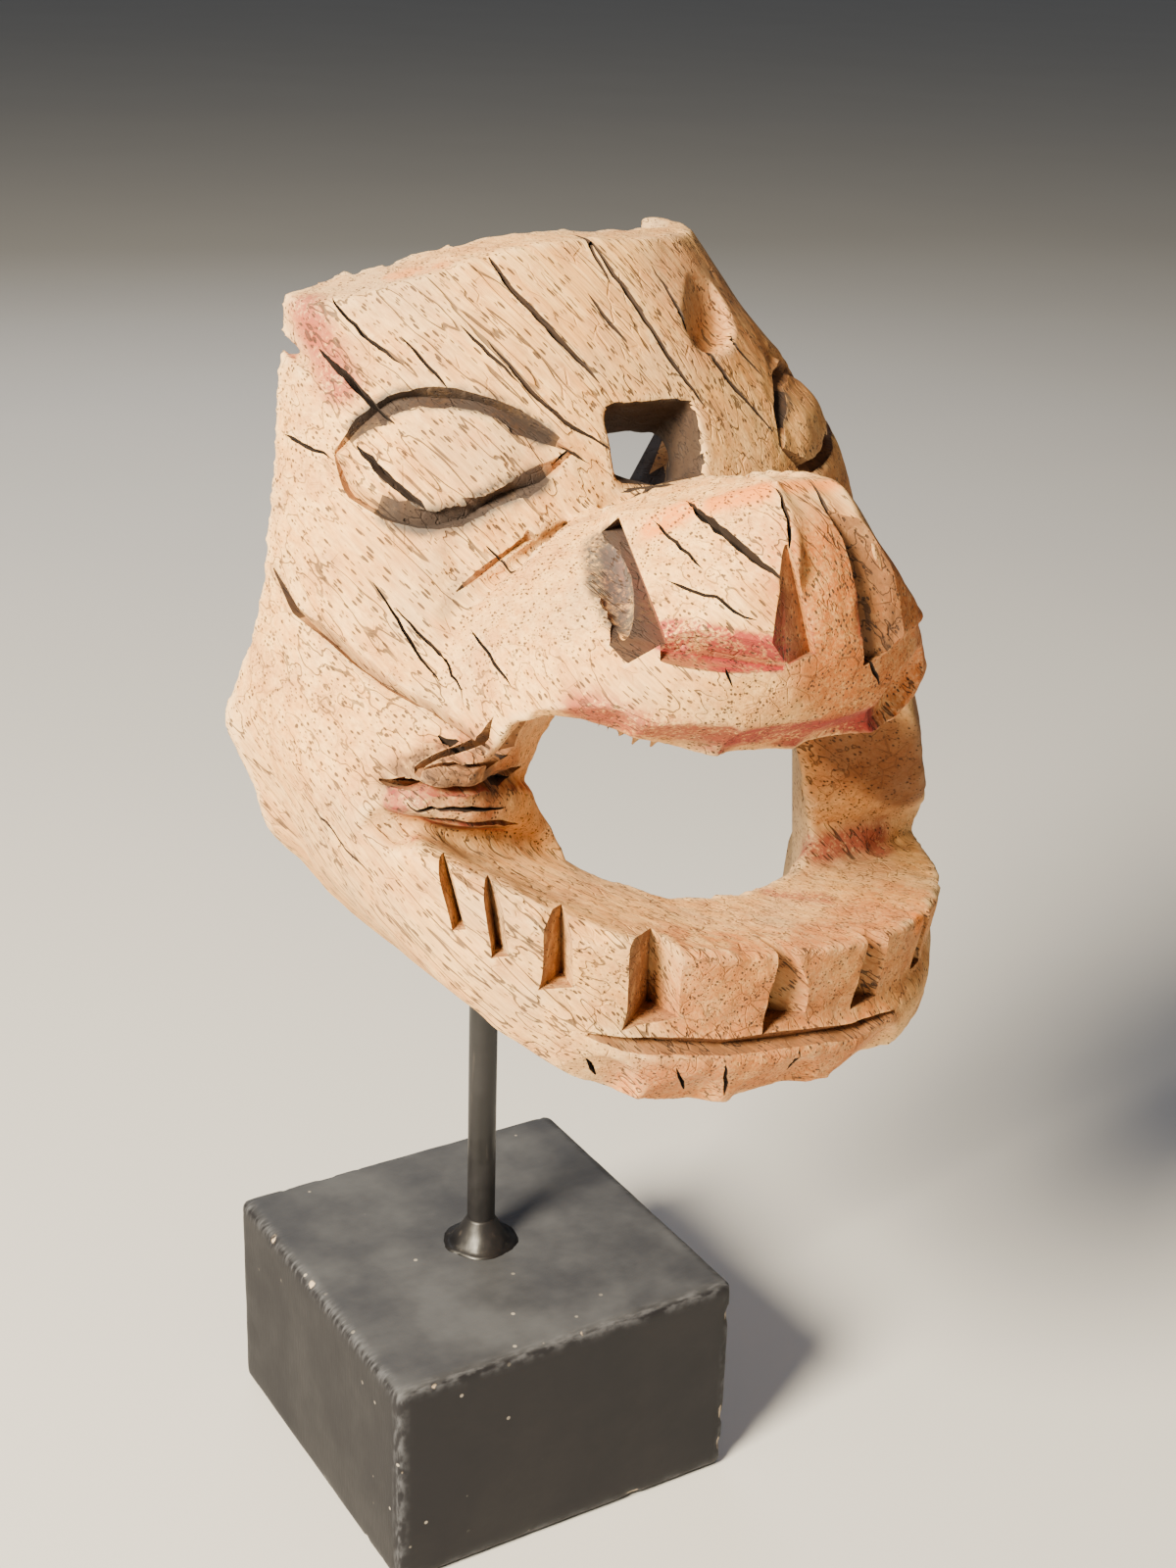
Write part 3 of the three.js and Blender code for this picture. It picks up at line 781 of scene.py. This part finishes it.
def wedge_ring(spot, normal, side, width, depth, lean, lift):
    """The three corners of a wedge at one place. Its point leans to one side, from -1 to 1."""
    point = spot - normal * depth + side * lean * width / 2
    corners = []
    for edge in (-1, 1):
        rim = spot + side * edge * width / 2
        corners.append(rim + (rim - point) * (lift / depth))
    return [*corners, point]


def split_cutter(places, width, depth):
    """A thin wedge that wanders along a path on the surface and closes at both ends."""
    spots, normals = snapped(face_tree, places, 2.6 * mm)
    rings = []
    for index, (spot, normal) in enumerate(zip(spots, normals)):
        before, after = spots[max(index - 1, 0)], spots[min(index + 1, len(spots) - 1)]
        side = (after - before).cross(normal).normalized()
        share = index / (len(spots) - 1)
        fullness = 0.12 + 0.88 * math.sin(math.pi * share) ** 0.6 * random.uniform(0.75, 1)
        place = spot + side * random.gauss(0, 0.14) * mm
        rings.append(wedge_ring(place, normal, side, width * fullness, depth * fullness, 0, 1.2 * mm))
    cutter = bmesh.new()
    add_body(cutter, rings)
    return cutter


def groove_cutter(places, width, depth, lean):
    """A clean V-shaped cut of the knife along a curve, running out at both ends."""
    spots, normals = snapped(face_tree, places, 2.2 * mm)
    for _ in range(4):
        before, after = normals[:1] + normals[:-1], normals[1:] + normals[-1:]
        normals = [
            (first + normal * 2 + last).normalized() for first, normal, last in zip(before, normals, after)
        ]
    rings = []
    for index, (spot, normal) in enumerate(zip(spots, normals)):
        before, after = spots[max(index - 2, 0)], spots[min(index + 2, len(spots) - 1)]
        side = (after - before).cross(normal).normalized()
        share = index / (len(spots) - 1)
        fullness = 0.2 + 0.8 * min(1, math.sin(math.pi * share) * 2.2) ** 0.8
        rings.append(wedge_ring(spot, normal, side, width * fullness, depth * fullness, lean, 1.4 * mm))
    cutter = bmesh.new()
    add_body(cutter, rings)
    return cutter


def straight_cutter(start, end, widths, depths, lean, facing, lift=5 * mm):
    """A wedge with flat sides between two places, cut from the way that it faces."""
    places = [carved(*place) for place in (start, end)]
    normal = faced(*facing)
    side = (places[1] - places[0]).cross(normal).normalized()
    rings = [
        wedge_ring(place, normal, side, width * mm, depth * mm, lean, lift)
        for place, width, depth in zip(places, widths, depths)
    ]
    cutter = bmesh.new()
    add_body(cutter, rings)
    return cutter


# The knife's clean cuts, at the septum, the wing and the near mouth corner: start, end, widths and depths
# at both in mm, lean of the point, the way the cut faces, and how far the cutter stands out.
straight_cuts = [
    ((-14.5, 147, 346), (-9.5, 152, 320), (3, 8), (2.5, 5), -0.85, (-0.35, 1, 0.1)),
    ((-31, 99, 340), (-41.5, 134, 320), (8, 11), (6, 7), -0.55, (-0.9, 0.6, 0.35), 2 * mm),
    ((-39, 136, 322.5), (-15, 154, 320.5), (7.5, 8), (3.6, 4.2), 0.8, (-0.35, 1, -0.1), 2.5 * mm),
    ((4, 142, 352), (15.5, 151, 317), (3, 11), (2, 5), 0.75, (0.25, 1, 0.1)),
    ((-83, 91, 279), (-47, 89, 275), (1.5, 6.5), (4, 9), 0.3, (-0.7, 0.7, 0.1), 2 * mm),
    ((-79, 95, 283), (-51, 104, 291), (3, 13), (2, 5.5), 0.7, (-0.7, 0.7, -0.2), 2 * mm),
    ((-73, 96, 271), (-45, 92, 267), (1.2, 3), (2.5, 4.5), -0.2, (-0.7, 0.7, 0), 2 * mm),
]
gap_overshoot = 0.22  # how far a gap runs on past the gum's edge, as a share of the tooth
# Each gap between the teeth: place across at the gum and at the foot, widths there, depth and lean.
tooth_gaps = [
    (-77, -72.5, 4.4, 3.4, 8, 0.5),
    (-69, -65.2, 4.6, 4.2, 8.5, 0.5),
    (-56.5, -54, 7, 8, 9.5, -0.6),
    (-34, -31, 14, 14, 12, -0.4),
    (3, 8, 2.4, 14, 11.5, 0.5),
    (37, 37.5, 8, 11, 10.5, 0.5),
    (64, 64, 5, 7, 8.5, 0.5),
    (82, 82, 3.4, 4.6, 6.5, 0.5),
]
for gum, foot, gum_width, foot_width, depth, lean in tooth_gaps:
    top, bottom = Vector(arc_place(gum_arc, gum)), Vector(arc_place(foot_arc, foot))
    top += (top - bottom) * gap_overshoot
    straight_cuts.append((top, bottom, (gum_width, foot_width), (depth, depth), lean, outwards(top)))

tooth_ledge = [
    (-48, 132, 222), (-39, 136, 219), (-11, 141, 214), (8, 141, 212), (32, 141, 209), (50, 136, 209),
]
# Curved cuts: path, width, depth and lean.
groove_cuts = [
    (near_lids[0], 4.6, 2.6, -0.5),
    (near_lids[1], 4.4, 2.3, 0.4),
    (far_lids[0], 5, 3, -0.5),
    (far_lids[1], 4, 2.4, 0.4),
    (tooth_ledge, 4.6, 3.6, -0.7),
    (cheek_line, 2.2, 2.2, 0.4),
    ([(-58, 76, 320), (-45, 78, 329), (-31, 84, 338), (-20, 92, 345)], 2.4, 1.6, 0.3),
    ([(-86, 88, 279), (-76, 97, 279), (-64, 100, 278), (-52, 97, 277), (-45, 91, 277)], 3, 8, 0),
    ([(-83, 92, 270), (-70, 99, 269), (-56, 99, 266), (-47, 95, 262)], 1.8, 5, 0),
]

# Splits: path, greatest width and depth.
splits = [
    ([(-34, 43, 398), (-31, 50, 389), (-22, 62, 377), (-15, 69, 368)], 2.1, 7),
    ([(-4, 35, 402), (-5, 48, 396), (-3, 54, 390)], 1.3, 4),
    ([(-5, 44, 402), (-2, 51, 393), (1, 56, 388), (7, 66, 374), (11, 70, 368), (16, 73, 361)], 1.9, 7),
    ([(12, 50, 394), (17, 60, 381), (27, 68, 366), (40, 72, 353)], 1.8, 6),
    ([(-11, 55, 388), (-8, 60, 382), (-4, 65, 377)], 1.3, 3),
    ([(-40, 55, 377), (-33, 67, 366), (-27, 72, 360), (-16, 77, 353)], 1.4, 4),
    ([(-72, 48, 351), (-68, 57, 345), (-61, 66, 338)], 2.4, 4.5),
    ([(-82, 26, 350), (-80, 31, 349), (-76, 44, 347)], 1.1, 3),
    ([(-67, 24, 383), (-65, 36, 376), (-59, 47, 370)], 1.1, 3),
    ([(-72, 28, 371), (-67, 46, 361), (-63, 52, 356)], 2.1, 6),
    ([(-59, 85, 313), (-60, 96, 310), (-60, 106, 305)], 1.0, 3),
    ([(-20, 116, 349), (-20, 125, 347), (-20, 134, 345), (-19, 142, 342), (-16, 149, 339)], 2.6, 6),
    ([(-10, 136, 358), (-11, 143, 352), (-13, 147, 345)], 1.3, 4),
    ([(2, 133, 357), (2, 141, 352), (4, 146, 347)], 1.4, 4),
    ([(11, 151, 318), (19, 148, 309)], 1.4, 4),
    ([(-26, 75, 354), (-32, 75, 349)], 1.0, 2.5),
    ([(-30, 74, 355), (-22, 78, 350)], 1.1, 2.5),
    ([(-20, 92, 346), (-20, 96, 344)], 1.3, 3),
    ([(-73, 62, 320), (-70, 76, 308), (-67, 86, 300)], 1.0, 2.5),
    ([(-29, 146, 321), (-26, 148, 313)], 0.8, 2.5),
    ([(-25, 139, 211), (-18, 136, 199)], 1.3, 4),
    ([(-12, 142, 211), (-7, 137, 198)], 1.4, 4),
    ([(-69, 90, 286), (-60, 98, 279), (-52, 90, 276)], 2.9, 5),
    ([(-76, 97, 283), (-66, 102, 285), (-55, 99, 285)], 1.9, 4),
    ([(-80, 94, 274), (-68, 100, 273), (-54, 98, 270)], 1.4, 4),
    ([(-49, 57, 386), (-42, 62, 377), (-36, 67, 370)], 1.1, 3),
    ([(-61, 47, 380), (-55, 52, 371), (-50, 56, 365)], 1.0, 3),
    ([(30, 58, 384), (36, 62, 374), (43, 64, 366)], 1.3, 4),
    ([(-50, 76, 331), (-44, 80, 324), (-38, 86, 318)], 1.0, 3),
    ([(-72, 70, 316), (-64, 82, 305), (-58, 92, 296)], 1.0, 3),
    ([(-28, 112, 346), (-26, 122, 341), (-24, 132, 336)], 1.0, 3),
    ([(-32, 127, 334), (-26, 138, 331), (-20, 146, 329)], 1.0, 3),
    ([(-46, 129, 215), (-42, 131, 205)], 1.4, 4),
    ([(12, 142, 210), (14, 139, 198)], 1.4, 4),
    ([(-86, 62, 270), (-84, 72, 262), (-79, 84, 254)], 1.0, 3),
]


def skin_tree(piece):
    """The piece's surface as it is now, to measure later cuts from."""
    skin = bmesh.new()
    skin.from_mesh(piece.data)
    tree = BVHTree.FromBMesh(skin)
    skin.free()
    return tree


def cut_away(piece, cutters):
    """Takes every cutter out of the piece for good."""
    cutter_objects = []
    for number, cutter in enumerate(cutters):
        data = bpy.data.meshes.new(f"cut_{number}")
        cutter.to_mesh(data)
        cutter.free()
        cutter_objects.append(add_object(f"cut_{number}", data))
    for cutter_object in cutter_objects:
        cut = piece.modifiers.new(cutter_object.name, "BOOLEAN")
        cut.operation = "DIFFERENCE"
        cut.solver = "MANIFOLD"
        cut.object = cutter_object
    baked(piece)
    for cutter_object in cutter_objects:
        bpy.data.objects.remove(cutter_object)


random.seed(7)
face_tree = skin_tree(mask)
cutters = [straight_cutter(*cut) for cut in straight_cuts]
cutters += [groove_cutter(path, width * mm, depth * mm, lean) for path, width, depth, lean in groove_cuts]
cut_away(mask, cutters)
knife_tree = skin_tree(mask)
cut_away(mask, [split_cutter(path, width * mm, depth * mm) for path, width, depth in splits])

# ---------------------------------------------------------------- mask: bare wood and old paint
# The wood is bare and pale where light and hands reach it. On the far side and the nose it is amber,
# partly its own colour and partly painted warm shade, and painted shade darkens every recess and cut.
# Traces of red, orange and soot-grey paint are left in the cuts.

clay = Clay(mask)


def near_to(places, inner, outer):
    """1 within inner mm of a path, 0 beyond outer mm."""
    near, distance, _ = beside(clay, places, outer * mm, 12 * mm)
    share = np.zeros(len(clay.points))
    share[near] = 1 - rise(distance, inner * mm, outer * mm)
    return share


def strongest(*shares):
    return np.max(shares, axis=0)


# Where each paint, stain or painted shade is left: a path in carving mm, and the radii of its full and its
# faded part.
# Soot paint on the lids, and painted shade along the cheek line's step and in the nostril gouge.
soot_and_shade = strongest(
    near_to(near_lids[0][1:-1], 2.2, 4.6),
    near_to(near_lids[1][2:-1], 2.6, 5.2),
    0.9 * near_to([(46, 70, 357), (52, 66, 363)], 1, 4),
    0.45 * near_to(cheek_line, 0.6, 2.8),
    0.5 * near_to([(-57, 75, 322), (-61, 76, 315)], 0.6, 3.5),
    near_to([(-33, 99, 337), (-37, 109, 330), (-41, 121, 326)], 3.4, 6),
)
red = strongest(
    0.85 * near_to([(-73, 20, 380), (-72, 38, 364)], 2, 9),
    1.5 * near_to([(-37, 136, 324), (-24, 150, 323), (-17, 154, 322)], 3.6, 5),
    0.7 * near_to([(-33, 104, 337), (-38, 122, 328), (-39, 134, 323)], 0.8, 2.6),
    0.6 * near_to([(-37, 122, 327), (-39, 132, 323)], 1, 4),
    0.85 * near_to([(-50, 125, 302), (-35, 136, 298), (-24, 142, 295)], 4, 11),
    near_to([(-14, 143, 294), (6, 145, 294), (26, 141, 295)], 5, 11),
    0.85 * near_to([(57, 89, 236), (70, 89, 237), (80, 90, 237)], 2, 7),
    0.7 * near_to([(30, 105, 235), (40, 112, 234)], 2, 6),
    0.7 * near_to([(-80, 91, 274), (-62, 92, 268), (-50, 86, 263)], 1, 3.5),
    0.8 * near_to([(13, 151, 334), (12, 152, 326)], 2, 7),
)
orange = strongest(
    near_to([(-27, 113, 343), (-22, 118, 348)], 1.5, 5),
    near_to([(-18, 124, 352), (-12, 133, 356)], 1.5, 5.5),
    0.8 * near_to([(-6, 135, 358), (8, 136, 358)], 1, 4),
    near_to([(59, 133, 232)], 2, 5),
    0.6 * near_to([(-54, 30, 392), (-46, 36, 398)], 1, 5),
)
# Amber is partly the wood's own colour and partly painted warm shade on the nose, far side, teeth and
# chin.
amber_and_warm_shade = strongest(
    near_to([(-2, 149, 338), (4, 152, 318), (16, 149, 306)], 7, 22),
    near_to([(26, 146, 330), (34, 140, 316), (40, 132, 305)], 8, 26),
    0.7 * near_to([(-20, 138, 230), (0, 141, 226), (30, 140, 224), (60, 122, 222)], 9, 18),
    0.85 * near_to([(-30, 136, 204), (0, 142, 202), (40, 132, 202)], 6, 16),
    0.8 * near_to([(30, 140, 330), (36, 138, 305)], 8, 30),
    0.7 * near_to([(60, 100, 330), (80, 70, 320), (88, 60, 290)], 12, 40),
    0.5 * near_to([(62, 96, 270), (84, 92, 262)], 6, 18),
    0.55 * near_to([(30, 56, 384), (60, 50, 370)], 8, 30),
    0.8 * near_to([(-62, 97, 279)], 6, 16),
)
curvature = ((clay.neighbours(clay.points) - clay.points) * clay.normals).sum(1).reshape(-1, 1) / mm
for _ in range(2):
    curvature = clay.neighbours(curvature)
curvature = curvature[:, 0]

# Recesses are found by rays: a place is shaded by the share of rays that meet wood close by. This shade
# is painted into the wood's colour.
recess_reach = 14 * mm
random.seed(11)
ways = [Vector([random.gauss(0, 1) for _ in range(3)]).normalized() for _ in range(9)]
wood_tree = clay_tree(clay)
shade = []
for place, normal in zip(clay.points, clay.normals):
    start = Vector(place) + Vector(normal) * 0.4 * mm
    hits = 0
    for way in ways:
        ray = (way + Vector(normal) * 1.02).normalized()
        hits += wood_tree.ray_cast(start, ray, recess_reach)[0] is not None
    shade.append(hits / len(ways))
shade = clay.neighbours(np.array(shade).reshape(-1, 1))[:, 0]
edges_worn = rise(-curvature, 0.02, 0.12)
clay.mask("paint_and_shade", red, soot_and_shade, orange, amber_and_warm_shade)
# The far inside of the mouth gets painted shade too.
far_mouth_shade = near_to([(60, 98, 272), (84, 92, 262)], 8, 20)
painted_recess_shade = strongest(shade, 0.8 * far_mouth_shade)
clay.mask("shade_and_age", painted_recess_shade, edges_worn, inner_share(clay), near_to(corner_path, 3, 8))

# Faces cut by the knife or opened by a split lie under the skin that was there before them.
faces = mask.data.polygons
centres = np.zeros(len(faces) * 3)
faces.foreach_get("center", centres)
centres = centres.reshape(-1, 3)
directions = np.zeros(len(faces) * 3)
faces.foreach_get("normal", directions)
directions = directions.reshape(-1, 3)
corner_counts = np.zeros(len(faces), dtype=int)
faces.foreach_get("loop_total", corner_counts)
corner_vertices = np.zeros(len(mask.data.loops), dtype=int)
mask.data.loops.foreach_get("vertex_index", corner_vertices)
corner_faces = np.repeat(np.arange(len(faces)), corner_counts)


def deepest(tree):
    """For each face, how far its deepest corner lies from an older skin."""
    depths = np.array([tree.find_nearest(Vector(place))[3] for place in clay.points])
    result = np.zeros(len(faces))
    np.maximum.at(result, corner_faces, depths[corner_vertices])
    return result


skin_depth = 0.3 * mm
sunken = deepest(face_tree)
opened = deepest(knife_tree) > skin_depth
# The lids' soot paint and the nostril's painted shade turn black where the knife cut them.
soot_and_shade_total = np.zeros(len(faces))
np.add.at(soot_and_shade_total, corner_faces, soot_and_shade[corner_vertices])
blackened_cuts = (soot_and_shade_total / corner_counts > 0.42) & (sunken > skin_depth)

# The walls of the square hole between the eyes are given painted black shade. They lie in a box, in
# carving mm, and face sideways or down.
hole_low, hole_high = (-21.5, -86, 328), (18.5, -40, 376)
local, local_ways = on_carving(centres), ways_on_carving(directions)
in_box = ((local > hole_low) & (local < hole_high)).all(1)
in_hole = in_box & ((np.abs(local_ways[:, 1]) < 0.55) | (local_ways[:, 2] < -0.05))
# Painted black shade in the splits and the hole, with the blackened cuts of the lids and nostril.
black_shade_share = np.max([opened, in_hole, 0.85 * blackened_cuts], axis=0)
# Painted shade on walls deep in the cuts, weaker on walls that face the light from the left.
brown_shade_share = (sunken > 0.4 * mm) * np.where(directions[:, 0] > -0.35, 1, 0.4)
side_grain = 1 - rise(np.abs(directions @ np.array(grain)), 0.35, 0.8)
layer = mask.data.color_attributes.new("cuts", "FLOAT_COLOR", "CORNER")
columns = np.stack([black_shade_share, side_grain, brown_shade_share, np.ones(len(faces))], 1)
layer.data.foreach_set("color", columns[corner_faces].astype(np.float32).ravel())

# The finish: streaky bare wood first, then stains, painted warm shade and painted shade, then what is left
# of the paint, then painted black shade in the cuts.
wood = Finish("weathered_wood")


def channel(attribute, name):
    colours = wood.node("ShaderNodeAttribute", {"attribute_name": attribute}, None, "Color")
    return wood.node("ShaderNodeSeparateColor", None, {"Color": colours}, name)


def grained(stretch):
    """Object coordinates along the fibres, with everything drawn out by stretch."""
    inputs = {"Vector": wood.place, "Rotation": grain_turn.to_euler(), "Scale": (stretch, 1, 1)}
    return wood.node("ShaderNodeMapping", {"vector_type": "TEXTURE"}, inputs)


clouds = wood.noise(wood.place, 30, 4, 0.6)
patches = wood.noise(wood.place, 75, 3, 0.6)
streaks = wood.noise(grained(10), 330, 4, 0.6)
fibres = wood.noise(grained(14), 1400, 3, 0.6)
ragged = wood.noise(wood.place, 900, 3, 0.65)


def pits(stretch, scale, size, keep):
    """Short dark pores: the middles of long cells, in only a part of the cells."""
    inputs = {"Vector": grained(stretch), "Scale": scale}
    distance = wood.node("ShaderNodeTexVoronoi", None, inputs, "Distance")
    cell = wood.node("ShaderNodeTexVoronoi", None, inputs, "Color")
    lot = wood.node("ShaderNodeSeparateColor", None, {"Color": cell}, "Red")
    return wood.steps(distance, size, size * 1.5, 1, 0) * wood.steps(lot, keep, keep + 0.05)


pores = pits(5, 900, 0.2, 0.5) | pits(7, 1400, 0.19, 0.45) * 0.8
hair_noise = wood.noise(grained(22), 210, 2, 0.45)
hair_distance = wood.maths("ABSOLUTE", hair_noise - 0.5)
hair_lines = wood.steps(hair_distance, 0.004, 0.014, 1, 0) * channel("cuts", "Green")
hairlines = hair_lines * wood.steps(clouds, 0.3, 0.5, 0.35, 1)
craze_inputs = {"Vector": grained(2.2), "Scale": 260}
craze_cells = wood.node("ShaderNodeTexVoronoi", {"feature": "DISTANCE_TO_EDGE"}, craze_inputs, "Distance")
craze = wood.steps(craze_cells, 0.015, 0.06, 1, 0) * wood.steps(patches, 0.5, 0.62)

shaded = channel("shade_and_age", "Red")
worn = channel("shade_and_age", "Green")
hollow = channel("shade_and_age", "Blue")
red_left = channel("paint_and_shade", "Red")
soot_and_shade_left = channel("paint_and_shade", "Green")
orange_left = channel("paint_and_shade", "Blue")
black_shade = channel("cuts", "Red") * 0.98
brown_shade = channel("cuts", "Blue")
amber_and_warm_shade_share = wood.node("ShaderNodeAttribute", {"attribute_name": "paint_and_shade"}, None, "Alpha")
rotten = wood.node("ShaderNodeAttribute", {"attribute_name": "shade_and_age"}, None, "Alpha")

base = wood.mix(wood.steps(streaks, 0.32, 0.68), colour(248, 196, 122), colour(226, 162, 86))
base = wood.mix(wood.steps(clouds, 0.42, 0.7, 0, 0.55), base, colour(190, 162, 126))
base = wood.mix(wood.steps(patches, 0.46, 0.7, 0, 0.7), base, colour(206, 146, 88))
base = wood.mix(wood.steps(fibres, 0.35, 0.7, 0, 0.42), base, colour(150, 106, 66))
base = wood.mix(worn * 0.45, base, colour(250, 216, 160))
# Amber wood colour mixed with painted warm shade.
amber_and_shade_mottle = amber_and_warm_shade_share * wood.steps(ragged + patches * 0.6, 0.55, 0.95, 0.35, 1)
base = wood.mix(amber_and_shade_mottle * 0.95, base, colour(184, 98, 28))
base = wood.mix(hollow * 0.55, base, colour(140, 112, 84))
# Painted shade: recesses and the far inside of the mouth are darkened to brown.
base = wood.mix(wood.steps(shaded, 0.3, 0.9, 0, 0.75), base, colour(92, 54, 28))
base = wood.mix(rotten * wood.steps(streaks, 0.35, 0.6, 0.45, 0.95), base, colour(96, 66, 44))
# Painted brown shade in the cuts.
base = wood.mix(brown_shade * wood.steps(streaks, 0.3, 0.6, 0.6, 0.95), base, colour(128, 84, 48))

patchy = wood.steps(ragged * 0.6 + patches * 0.5, 0.38, 0.56)
rubbed_soot_and_shade = soot_and_shade_left * wood.steps(ragged * 0.5 + patches * 0.6, 0.36, 0.58, 0.25, 1)
base = wood.mix(orange_left * wood.steps(patches + fibres * 0.3, 0.42, 0.62), base, colour(226, 130, 40))
base = wood.mix(red_left * patchy * 0.92, base, colour(140, 26, 30))
# Soot paint, and painted grey shade along the cheek line and in the nostril.
base = wood.mix(rubbed_soot_and_shade * 0.92, base, colour(62, 62, 62))

dark = (pores * 0.9) | (hairlines * 0.8) | (craze * 0.45 * amber_and_warm_shade_share)
base = wood.mix(dark, base, colour(62, 42, 28))
# Painted black shade deep in the cuts.
base = wood.mix(black_shade, base, colour(46, 30, 20))
wood.set("Base Color", base)
wood.set("Roughness", wood.steps(patches, 0.3, 0.7, 0.72, 0.9))
relief = streaks * 0.5 + fibres * 0.28 + ragged * 0.12 - pores * 0.9 - hairlines * 0.9 - craze * 0.5
wood.bump(relief, 0.55 * mm, 0.8)
mask.data.materials.clear()
mask.data.materials.append(wood.material)
mask.data.shade_smooth()
mask.data.set_sharp_from_angle(angle=math.radians(50))
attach(mask, "root")
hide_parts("mask")
